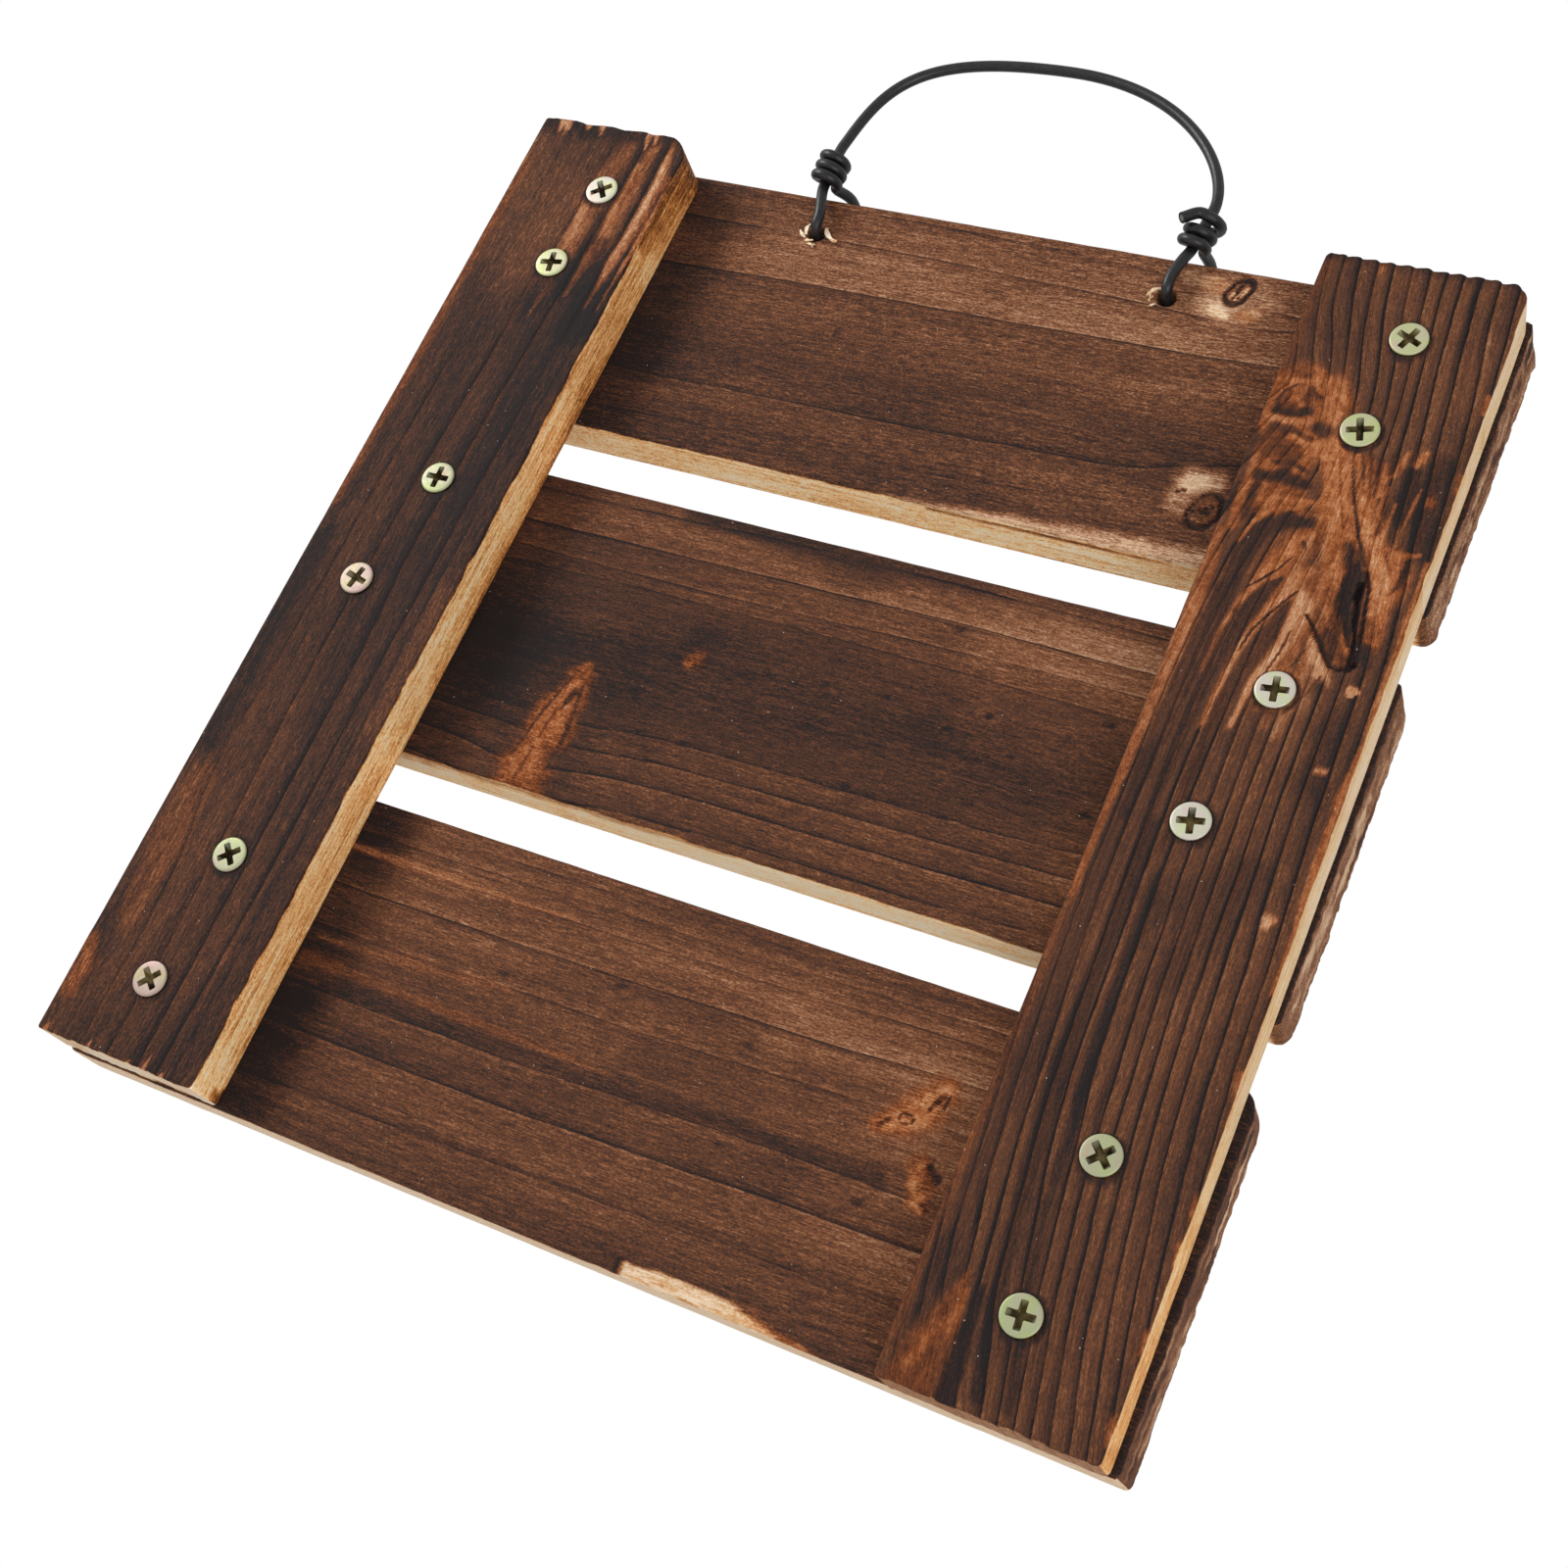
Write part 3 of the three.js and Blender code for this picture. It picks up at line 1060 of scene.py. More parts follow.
    def _wear(self, piece: Piece) -> None:
        """Brushes, burns and frays the board.

        Args:
            piece: The board.
        """
        mesh = piece.data
        points = points_of(mesh)
        x, y, z = points.T
        along, across = (x, z) if self.grain is Grain.ALONG_X else (z, x)
        phase, spacing, late, flow = self.rings.read(along, across)
        fields = self._fields(x, z, across, phase, late)
        front = y - self.low[1]
        self._shade_sides(fields, x, y, z, front, along)
        near = ramp(3.5, 0.4, front)
        fibre = self.noise.rough(along / 7, across / 0.8)
        points[:, 1] -= near * (fields.height + self.fuzz * fibre)
        self._fray(points, along, across, phase)
        move_points(mesh, points)
        turn = phase * 2 * math.pi
        tag(mesh, "ring", np.stack([np.cos(turn), np.sin(turn), spacing], 1))
        tag(mesh, "weave", np.stack([flow, along, y], 1))
        for name in LAYERS:
            tag(mesh, name, getattr(fields, name))

    def _fields(self, x: Array, z: Array, across: Array, phase: Array, late: Array) -> Fields:
        """The front face's burn, marks and height.

        Args:
            x: Places along X.
            z: Places along Z.
            across: Places across the grain.
            phase: Place between two lines of late wood.
            late: Strength of the line.

        Returns:
            The fields.
        """
        burn = smooth_line(self.tone, across)
        fields = Fields(burn, np.zeros_like(x), np.zeros_like(x), late.copy(), np.zeros_like(x))
        stretch = (9.0, 2.5) if self.grain is Grain.ALONG_X else (2.5, 9.0)
        fray = self.noise.rough(x / stretch[0], z / stretch[1], 4)
        for mark in self.marks:
            fields.paint(mark, mark.cover(x, z, fray))
        rise = ramp(0.1, 0.92, phase) * ramp(1.0, 0.94, phase)
        fields.height[:] += self.ridge * np.clip(fields.late, 0, 1.2) * (rise - 0.75)
        return fields

    def _shade_sides(self, fields: Fields, x: Array, y: Array, z: Array, front: Array, along: Array) -> None:
        """Gives the faces behind the front their own burn.

        Args:
            fields: The fields to change.
            x: Places along X.
            y: Places along Y.
            z: Places along Z.
            front: Depth behind the front face.
            along: Places along the grain.
        """
        reach = {
            Side.LEFT: x - self.low[0], Side.RIGHT: self.high[0] - x,
            Side.FOOT: z - self.low[2], Side.TOP: self.high[2] - z,
            Side.BACK: self.high[1] - y,
        }
        order = list(reach)
        nearest = np.argmin(np.array([reach[side] for side in order]), 0)
        across = x + z - along
        ends = (Side.LEFT, Side.RIGHT) if self.grain is Grain.ALONG_X else (Side.FOOT, Side.TOP)
        ragged = self.tear * self.noise.rough(along / 5, across / 2, 4)
        fray = self.noise.rough((x + z) / 8, y / 2, 4)
        share = ramp(0.3 * self.arris, 0.85 * self.arris, front + ragged) * ramp(0.05, 0.2, front)
        for index, side in enumerate(order):
            burn, raw = self.sides[side]
            own = share * (nearest == index)
            scorch = 0.0 if side is Side.BACK else self.scorch * ramp(1.6, 0.2, reach[Side.BACK] + ragged)
            fields.burn[:] += (burn + scorch - fields.burn) * own
            fields.raw[:] += (raw - fields.raw) * own
            fields.amber[:] *= 1 - own
            fields.late[:] *= 1 - 0.75 * own
            for mark in self.side_marks.get(side, ()):
                fields.paint(mark, own * mark.cover(across if side in ends else along, y, fray))

    def _fray(self, points: Array, along: Array, across: Array, phase: Array) -> None:
        """Wears the ends and the long edges.

        Args:
            points: The board's points, changed in place.
            along: Places along the grain, not used.
            across: Places across it, not used.
            phase: Place between two lines of late wood.
        """
        up = self.grain.value
        side = 2 - up
        lows, highs = self.low, self.high
        wear = ((up, self.end_wear, self.end_cell), (side, self.side_wear, self.side_cell))
        for axis, amount, cell in wear:
            other = points[:, 2 - axis].copy()
            deep = points[:, 1].copy()
            for face, sign in ((lows[axis], 1.0), (highs[axis], -1.0)):
                inset = np.abs(points[:, axis] - face)
                near = ramp(self.wear_reach, 0.0, inset)
                loss = 0.25 + 0.5 * self.noise.rough(other / cell + face, deep / (cell * 2), 4)
                move = amount * loss
                if axis == up and self.scallop and sign < 0:
                    dip = 0.5 + 0.5 * self.noise.rough(other / 5, deep / 40, 2)
                    move = move + self.scallop * dip * (1 - ramp(0.0, 0.7, phase) * ramp(1.0, 0.7, phase))
                if axis == up and sign < 0:
                    share = (other - lows[side]) / (highs[side] - lows[side])
                    back = (deep - lows[1]) / (highs[1] - lows[1])
                    lean = self.lean[0] + (self.lean[1] - self.lean[0]) * share
                    move = move + lean * (1 - np.clip(back, 0, 1))
                points[:, axis] += sign * near * move


# Screws


@dataclass
class Screws:
    """Countersunk screws with a cross recess, all copied from one pattern."""

    places: dict[str, tuple[float, float, float, Plating]]
    head_radius: float = 4.0
    rim: float = 0.4
    shank: float = 1.6
    length: float = 20.0
    point_length: float = 4.0
    point_radius: float = 0.2
    face: float = HEAD_FRONT
    recess_span: float = 5.6
    recess_wing: float = 1.45
    recess_depth: float = 2.0
    recess_taper: float = 0.62
    recess_round: float = 0.22
    sides: int = 72

    def build(self) -> list[Piece]:
        """Models and places the screws.

        Returns:
            The pieces.
        """
        finish = YellowZinc().material("yellow_zinc")
        pattern = self._pattern()
        coat(pattern, finish)
        made = []
        for node, (x, z, turn, plating) in self.places.items():
            take(pattern)
            bpy.ops.object.duplicate(linked=False)
            piece = bpy.context.object
            piece.name = f"{node}_head"
            piece.rotation_euler = (0, math.radians(-turn), 0)
            piece.location = (x * MM, 0, z * MM)
            settle(piece)
            tag(piece.data, "plating", np.tile(plating.value, (len(piece.data.vertices), 1)))
            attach(piece, "board")
            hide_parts(node)
            made.append(piece)
        bpy.data.objects.remove(pattern)
        return made

    def _pattern(self) -> Piece:
        """The screw at the origin, along Y.

        Returns:
            The piece.
        """
        y, r = self.face, self.head_radius
        neck = y + self.rim + r - self.shank
        tip = y + self.length
        piece = turned("screw", (
            (r - 0.55, y - 0.03), (r - 0.3, y), (r - 0.12, y + 0.05), (r - 0.02, y + 0.15), (r, y + 0.26),
            (r, y + self.rim), (r - 0.12, y + self.rim + 0.12), (self.shank, neck),
            (self.shank, tip - self.point_length), (self.point_radius, tip)), self.sides)
        cut(piece, self._recess())
        mesh = piece.data
        x, depth, z = points_of(mesh).T
        # Points down in the cross recess, where the zinc paints shade
        inside = (np.hypot(x, z) < self.recess_span / 2) & (depth > y + 0.04) & (depth < y + 2.2)
        tag(mesh, "recess_shade", inside * 1.0)
        smooth(piece, degrees=40)
        return piece

    def _recess(self) -> Piece:
        """The cutter for the cross recess, narrower at its bottom.

        Returns:
            The cutter.
        """
        bars = []
        for turn in (0.0, math.pi / 2):
            deselect()
            bpy.ops.mesh.primitive_cube_add(size=1, location=(0, (self.face + 0.5) * MM, 0))
            bar = bpy.context.object
            bar.scale = (self.recess_span * MM, self.recess_depth * 1.4 * MM, self.recess_wing * MM)
            bar.rotation_euler = (0, turn, 0)
            settle(bar)
            bars.append(bar)
        first, second = bars
        apply_modifier(first, "BOOLEAN", object=second, operation="UNION", solver="EXACT")
        bpy.data.objects.remove(second)
        take(first)
        edit(True)
        bpy.ops.mesh.select_all(action="SELECT")
        bpy.ops.mesh.bisect(plane_co=(0, (self.face + 0.08) * MM, 0), plane_no=(0, 1, 0))
        edit(False)
        mesh = first.data
        points = points_of(mesh)
        deep = points[:, 1] > self.face + 0.5
        points[deep, 0] *= self.recess_taper
        points[deep, 2] *= self.recess_taper
        move_points(mesh, points)
        apply_modifier(first, "BEVEL", width=self.recess_round * MM, segments=3, limit_method="ANGLE",
                       angle_limit=math.radians(50))
        return first


# Splinters


@dataclass(frozen=True)
class Flake:
    """One curl of torn wood: where it starts, its heading, how it turns and rises."""

    x: float
    z: float
    heading: float
    turn: float
    length: float
    width: float
    lift: float
    tip: float = 0.15


@dataclass
class Splinters:
    """Curls of wood left round a drilled hole."""

    name: str
    flakes: tuple[Flake, ...]
    face: float = SLAT_FRONT
    thickness: float = 0.16

    def build(self) -> Piece:
        """Models the curls as one piece.

        Returns:
            The piece.
        """
        piece = join([self._flake(flake) for flake in self.flakes])
        piece.name = self.name
        smooth(piece, degrees=60)
        coat(piece, TornFibre().material(f"{self.name}_fibre"))
        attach(piece, "board")
        return piece

    def _flake(self, flake: Flake) -> Piece:
        """One curl, bent from a strip and given a thickness.

        Args:
            flake: Its sizes.

        Returns:
            The curl.
        """
        deselect()
        bpy.ops.mesh.primitive_grid_add(x_subdivisions=20, y_subdivisions=4, size=1.0)
        piece = bpy.context.object
        points = points_of(piece.data) * MM
        share, side = points[:, 0] + 0.5, points[:, 1]
        count = 59
        steps = np.linspace(0, 1, count + 1)
        heading = np.radians(flake.heading) + np.radians(flake.turn) * steps
        path_x = flake.x + np.concatenate([[0], np.cumsum(np.cos(heading[:-1]))]) * flake.length / count
        path_z = flake.z + np.concatenate([[0], np.cumsum(np.sin(heading[:-1]))]) * flake.length / count
        angle = np.interp(share, steps, heading)
        half = side * (flake.width * (1 - share) ** 0.7 + flake.tip * share)
        half = half * (1 + 0.3 * np.sin(9 * share + 3 * flake.x))
        x = np.interp(share, steps, path_x) - half * np.sin(angle)
        z = np.interp(share, steps, path_z) + half * np.cos(angle)
        rise = 0.12 + flake.lift * np.sin(math.pi * 0.62 * share) + 0.5 * half ** 2
        move_points(piece.data, np.stack([x, self.face - rise, z], 1))
        apply_modifier(piece, "SOLIDIFY", thickness=self.thickness * MM, offset=0.0)
        settle(piece)
        return piece


# Hanger


@dataclass(frozen=True)
class WireEnd:
    """One end of the wire: hole, upright part and wrapped turns, in mm."""

    hole: float
    foot_lean: float
    foot_rise: float
    top_lean: float
    top_rise: float
    return_lean: float
    return_rise: float
    wrap_rise: float
    pitch: float
    tilt: float
    turns: float
    eye_growth: float
    eye_rise: float
    tail: Triple
    shoulder_rise: float
    shoulder_reach: float
    shoulder_bow: float


@dataclass
class Hanger:
    """The coated wire, along the same path as the frame's solid."""

    left: WireEnd
    right: WireEnd
    slat_top: float = 126.5
    slat_thickness: float = 12.0
    hole_drop: float = 10.7
    radius: float = 1.3
    core_radius: float = 0.8
    core_gap: float = 0.15
    stand_off: float = 3.0
    bend: float = 3.4
    set_back: float = 0.6
    foot_proud: float = 0.6
    top_back: float = 0.6
    rise: float = 47.7
    shift: float = -1.8
    wrap_radius: float = 2.9
    per_span: int = 5
    per_turn: int = 12
    per_half_arch: int = 17

    def build(self) -> list[Piece]:
        """Models the coating and the core.

        Returns:
            The pieces.
        """
        path = self._sampled(self._path())
        coating = self._tube("hanger_coating_wire", path, self.radius, sides=24, capped=False)
        wall = self.radius - self.core_radius - self.core_gap
        apply_modifier(coating, "SOLIDIFY", thickness=wall * MM, offset=-1.0)
        core = self._tube("hanger_core_wire", path, self.core_radius, sides=12, capped=True)
        finishes = (BlackCoating().material("wire_coating"), DrawnSteel().material("wire_core"))
        for piece, node, slot, finish in zip(
                (coating, core), ("hanger_coating", "hanger_core"), ("wire_coating", "wire_core"), finishes):
            coat(piece, finish)
            smooth(piece, degrees=45)
            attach(piece, "hanger")
            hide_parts(node)
        return [coating, core]

    def _standing(self, end: WireEnd, rise: float) -> Array:
        """The upright wire's place at a height above the slat.

        Args:
            end: The wire's end.
            rise: The height.

        Returns:
            The point in mm.
        """
        share = (rise - end.foot_rise) / (end.top_rise - end.foot_rise)
        front = -self.slat_thickness - self.stand_off + self.set_back
        foot = -self.slat_thickness - self.foot_proud
        x = end.hole + end.foot_lean + share * (end.top_lean - end.foot_lean)
        return np.array([x, front + share * (foot - front), self.slat_top + rise])

    def _wraps(self, end: WireEnd) -> list[Array]:
        """The turns round the upright wire.

        Args:
            end: The wire's end.

        Returns:
            Their points.
        """
        steps = round(end.turns * self.per_turn)
        points = []
        for turn in np.linspace(0, end.turns, steps + 1):
            angle = math.pi / 4 - 2 * math.pi * turn
            eye = max(0.0, turn - end.turns + 1) ** 2
            radius = self.wrap_radius + end.eye_growth * eye
            lift = end.tilt * math.sin(angle) + end.eye_rise * eye
            offset = np.array([radius * math.cos(angle), radius * math.sin(angle), 0])
            points.append(self._standing(end, end.wrap_rise + end.pitch * turn + lift) + offset)
        if any(end.tail):
            points.append(points[-1] + np.array(end.tail))
        return points

    def _end(self, end: WireEnd) -> list[Array]:
        """One end, from the arch's foot to the cut.

        Args:
            end: The wire's end.

        Returns:
            Its points.
        """
        slack, leg_top = self.bend / 4, self.slat_top - self.bend / 2
        level = self.slat_top - self.hole_drop
        back, front_x = end.hole + end.return_lean, end.hole + end.foot_lean
        front_y = -self.slat_thickness - self.stand_off
        return_z = self.slat_top + end.return_rise
        middle = (end.foot_rise + end.top_rise) / 2
        route = (
            ((front_x * 2 + end.hole) / 3, front_y, leg_top),
            (end.hole, front_y, level + self.bend),
            (end.hole, front_y + slack, level + slack),
            (end.hole, -self.slat_thickness, level),
            (end.hole, -self.slat_thickness / 2, level),
            (end.hole, 0.0, level),
            (end.hole, self.stand_off - slack, level + slack),
            (end.hole, self.stand_off, level + self.bend),
            ((back + end.hole) / 2, self.stand_off, leg_top),
            (back, self.stand_off / 2, return_z - slack),
            (back, -self.slat_thickness / 2, return_z),
        )
        upright = [self._standing(end, rise) for rise in (end.top_rise, middle, end.foot_rise)]
        return [*upright, *(np.array(point) for point in route), *self._wraps(end)]

    def _half_arch(self, end: WireEnd, side: float) -> list[Array]:
        """Half of the arch, from its foot to its top.

        Args:
            end: The wire's end.
            side: -1 on the left, 1 on the right.

        Returns:
            Its points.
        """
        top = np.array([self.shift, -self.slat_thickness + self.top_back, self.slat_top + self.rise])
        foot = self._standing(end, end.top_rise)
        shoulder = foot + np.array([end.shoulder_bow, 0, end.shoulder_rise])
        crown = top + np.array([side * end.shoulder_reach, 0, 0])
        shares = np.linspace(0, 1, self.per_half_arch)
        return [(1 - t) ** 3 * foot + 3 * (1 - t) ** 2 * t * shoulder
                + 3 * (1 - t) * t * t * crown + t ** 3 * top for t in shares]

    def _path(self) -> Array:
        """All points of the wire in mm, from its left end to its right one."""
        left, right = self._half_arch(self.left, -1), self._half_arch(self.right, 1)
        return np.array([*self._end(self.left)[::-1], *left[1:], *right[1:-1][::-1], *self._end(self.right)])

    def _sampled(self, points: Array) -> Array:
        """A smooth centripetal curve through the points.

        Args:
            points: The points.

        Returns:
            Finer points.
        """
        full = np.vstack([2 * points[0] - points[1], points, 2 * points[-1] - points[-2]])
        out = []
        for p0, p1, p2, p3 in zip(full, full[1:], full[2:], full[3:]):
            t0 = 0.0
            t1 = t0 + max(np.linalg.norm(p1 - p0), 1e-6) ** 0.5
            t2 = t1 + max(np.linalg.norm(p2 - p1), 1e-6) ** 0.5
            t3 = t2 + max(np.linalg.norm(p3 - p2), 1e-6) ** 0.5
            for t in np.linspace(t1, t2, self.per_span, endpoint=False):
                a1, a2 = between(t, t0, p0, t1, p1), between(t, t1, p1, t2, p2)
                a3 = between(t, t2, p2, t3, p3)
                b1, b2 = between(t, t0, a1, t2, a2), between(t, t1, a2, t3, a3)
                out.append(between(t, t1, b1, t2, b2))
        return np.array([*out, points[-1]])

    def _tube(self, name: str, path: Array, radius: float, sides: int, capped: bool) -> Piece:
        """A round tube along a path.

        Args:
            name: The piece's name.
            path: The path in mm.
            radius: The tube's radius.
            sides: Sides round it.
            capped: Whether its ends are closed.

        Returns:
            The piece.
        """
        deselect()
        bpy.ops.curve.primitive_nurbs_path_add()
        piece = bpy.context.object
        piece.name = name
        curve = piece.data
        curve.splines.clear()
        spline = curve.splines.new("POLY")
        spline.points.add(len(path) - 1)
        flat = np.hstack([path * MM, np.ones((len(path), 1))])
        spline.points.foreach_set("co", flat.ravel())
        curve.dimensions = "3D"
        curve.bevel_depth = radius * MM
        curve.bevel_resolution = sides // 4 - 1
        curve.use_fill_caps = capped
        take(piece)
        bpy.ops.object.convert(target="MESH")
        piece = bpy.context.object
        edit(True)
        bpy.ops.mesh.select_all(action="SELECT")
        bpy.ops.mesh.remove_doubles(threshold=1e-7)
        bpy.ops.mesh.normals_make_consistent(inside=False)
        edit(False)
        settle(piece)
        return piece


# Studio


@dataclass
class Studio:
    """White room, soft light from the upper left, a weaker one from the lower right, and the camera."""

    floor_height: float = -0.75
    floor_size: float = 4.0
    floor_grey: float = 0.86
    camera_place: Triple = (0.187921, -0.404257, -0.161069)
    right: Triple = (0.880005, 0.260931, 0.396870)
    up: Triple = (-0.261318, -0.431758, 0.863306)
    lens: float = 50.04
    sensor: float = 36.0
    key_from: Triple = (-1.14, -0.80, 0.47)
    key_size: float = 0.55
    key_power: float = 13.0
    side_from: Triple = (0.85, -0.85, -0.60)
    side_size: float = 0.9
    side_power: float = 9.0
    fill: float = 0.66

    def build(self) -> None:
        """Sets up floor, world, light and camera."""
        self._floor()
        self._world()
        self._light("key", self.key_from, self.key_size, self.key_power)
        self._light("side", self.side_from, self.side_size, self.side_power)
        self._camera()

    def _floor(self) -> None:
        """A plain pale floor, well below the board."""
        deselect()
        bpy.ops.mesh.primitive_plane_add(size=self.floor_size, location=(0, 0, self.floor_height))
        floor = bpy.context.object
        floor.name = "floor"
        settle(floor)
        g = Graph("floor")
        g.surface("Base Color", (*[self.floor_grey] * 3, 1))
        g.surface("Roughness", 0.9)
        coat(floor, g.material)

    def _world(self) -> None:
        """White to the camera and softer as a light."""
        world = bpy.data.worlds.new("studio")
        bpy.context.scene.world = world
        world.use_nodes = True
        tree = world.node_tree
        ground = tree.nodes["Background"]
        ground.inputs["Color"].default_value = (1, 1, 1, 1)
        path = tree.nodes.new("ShaderNodeLightPath")
        level = tree.nodes.new("ShaderNodeMapRange")
        level.inputs["To Min"].default_value = self.fill
        level.inputs["To Max"].default_value = 1.0
        tree.links.new(path.outputs["Is Camera Ray"], level.inputs["Value"])
        tree.links.new(level.outputs["Result"], ground.inputs["Strength"])

    def _light(self, name: str, start: Triple, size: float, power: float) -> None:
        """One large soft light, turned to the board.

        Args:
            name: Its name.
            start: Its place.
            size: Its width.
            power: Its power.
        """
        deselect()
        place = Vector(start)
        bpy.ops.object.light_add(type="AREA", location=place)
        lamp = bpy.context.object
        lamp.name = name
        lamp.rotation_euler = (-place).to_track_quat("-Z", "Y").to_euler()
        lamp.data.shape = "DISK"
        lamp.data.size = size
        lamp.data.energy = power

    def _camera(self) -> None:
        """The camera, below and to the right of the board, with its roll."""
        deselect()
        bpy.ops.object.camera_add()
        camera = bpy.context.object
        camera.name = "camera"
        right, up = Vector(self.right), Vector(self.up)
        turn = Matrix((right, up, right.cross(up))).transposed().to_4x4()
        camera.matrix_world = Matrix.Translation(self.camera_place) @ turn
        camera.data.lens = self.lens
        camera.data.sensor_width = self.sensor
        camera.data.clip_start = 0.01
        bpy.context.scene.camera = camera


# The board's own values


SCREWS: dict[str, tuple[float, float, float, Plating]] = {
    "left_top_upper_screw": (-96.5, 108.9, 36, Plating.SILVER),
    "left_top_lower_screw": (-99.3, 86.2, 10, Plating.STRAW),
    "left_middle_upper_screw": (-98.4, 23.85, 2, Plating.OLIVE),
    "left_middle_lower_screw": (-104.9, -5.45, -13, Plating.ROSE),
    "left_bottom_upper_screw": (-99.1, -75.3, 41, Plating.OLIVE),
    "left_bottom_lower_screw": (-101.8, -106.2, 48, Plating.ROSE),
    "right_top_upper_screw": (99.55, 108.15, -25, Plating.STRAW),
    "right_top_lower_screw": (96.85, 84.55, 16, Plating.STRAW),
    "right_middle_upper_screw": (99.65, 23.55, 8, Plating.SILVER),
    "right_middle_lower_screw": (93.65, -7.55, 12, Plating.SILVER),
    "right_bottom_upper_screw": (100.55, -74.3, 45, Plating.OLIVE),
    "right_bottom_lower_screw": (97.45, -106.0, 4, Plating.OLIVE),
}


def screw_bores(word: str) -> tuple[Bore, ...]:
    """The screw holes of one board, for a word of the screws' names such as left or top."""
    return tuple(Bore(x, z, shank=1.9, head=4.3, face=HEAD_FRONT, rim=0.4, end=-3.6)
                 for node, (x, z, *_) in SCREWS.items() if word in node.split("_"))


def shade(tone: float, *spots: Spot, soft: float = 1.6, ragged: float = 0.2, **more: float) -> Mark:
    """A patch that adds a tone to the burn under it: the wood's own tone in most places, painted shade in
    some, such as beside the left batten.
    """
    return Mark(spots, add=tone, soft=soft, ragged=ragged, **more)


def char(burn: float, *spots: Spot, **more: float) -> Mark:
    """A patch with a burn of its own."""
    return Mark(spots, burn, **more)


def stain(burn: float, amber: float, *spots: Spot, **more: float) -> Mark:
    """A patch with a burn and an amber of its own."""
    return Mark(spots, burn, amber, **more)


def figure(burn: float, amber: float, *spots: Spot, ragged: float = 0.35, late: float = 0.25,
           **more: float) -> Mark:
    """A stain of the spike knot's figure, where little is left of the late wood lines."""
    return Mark(spots, burn, amber, ragged=ragged, late=late, **more)


def ring_of(x: float, z: float, wide: float, high: float, half: float) -> tuple[Spot, ...]:
    """Spots of an oval band about (x, z), with its two radii and its own half width."""
    turns = np.linspace(0, 2 * math.pi, 15)
    return tuple((x + wide * math.cos(t), z + high * math.sin(t), half) for t in turns)


def head_shadows(word: str) -> tuple[Mark, ...]:
    """Painted shadows round the screw heads of the left or right batten: dark rings set off to the lower
    right of each head.
    """
    reach, half = 4.3, 0.5
    return tuple(char(0.98, *ring_of(x + 0.4, z - 0.45, reach, reach, half), soft=1.3, ragged=0.3, late=0.0,
                      share=0.85)
                 for node, (x, z, *_) in SCREWS.items() if node.startswith(word))


def scratches(seed: int, low: float, high: float, front: float = SLAT_FRONT) -> tuple[Mark, ...]:
    """Saw marks along a board's end.

    Args:
        seed: Sets one end apart from another.
        low: Lowest place along the end, in mm.
        high: Highest place.
        front: Where the marks' depth is counted from.

    Returns:
        The marks.
    """
    count = 44
    draw = np.random.default_rng(seed)
    starts, lengths = draw.uniform(low, high - 4, count), draw.uniform(3, 20, count)
    depths, tones = front + draw.uniform(0.6, 11.4, count), draw.choice((-0.26, -0.18, 0.26), count)
    return tuple(shade(tone, (up, deep, 0.5), (up + long, deep + 0.8, 0.8), soft=1.3, ragged=0.9)
                 for up, long, deep, tone in zip(starts, lengths, depths, tones))


SLAT_SIDES = {
    Side.LEFT: (0.6, 0.1), Side.RIGHT: (0.38, 0), Side.FOOT: (0.25, 1),
    Side.TOP: (0.62, 0), Side.BACK: (0.42, 1),
}
BURNT_CORNER = char(0.6, (120.6, SLAT_FRONT, 2.8), (120.6, 0, 2.8), soft=0.5, ragged=0.2, raw=0.2)

# The top slat, with two knots at its right and the wire's holes
TOP_LINES = (
    Line(((-125, 56.9), (-80, 57.9), (-47, 58.8), (-18, 59.2), (14, 59.9), (37, 61.8), (53, 63.6),
          (125, 69)), 0.5),
    Line(((-125, 68.4), (-80, 69.2), (-47, 69.5), (-18, 69.9), (14, 70.3), (37, 71), (51, 72), (62, 74.8),
          (75, 78), (125, 80)), 0.9),
    Line(((-125, 101), (-80, 101), (-47, 101.7), (-18, 102), (9, 102.3), (37, 102.8), (59, 103.2),
          (73, 103.8), (125, 105))),
    Line(((-125, 115.6), (-80, 115.4), (-47, 115.3), (-18, 115.4), (14, 114.4), (37, 113.7), (52, 112.7),
          (66, 112.4), (76, 114), (125, 116))),
    Line(((-125, 125), (-80, 124.8), (-25, 124.5), (20, 123.4), (41, 121.9), (52, 119), (125, 121)), 0.7),
)
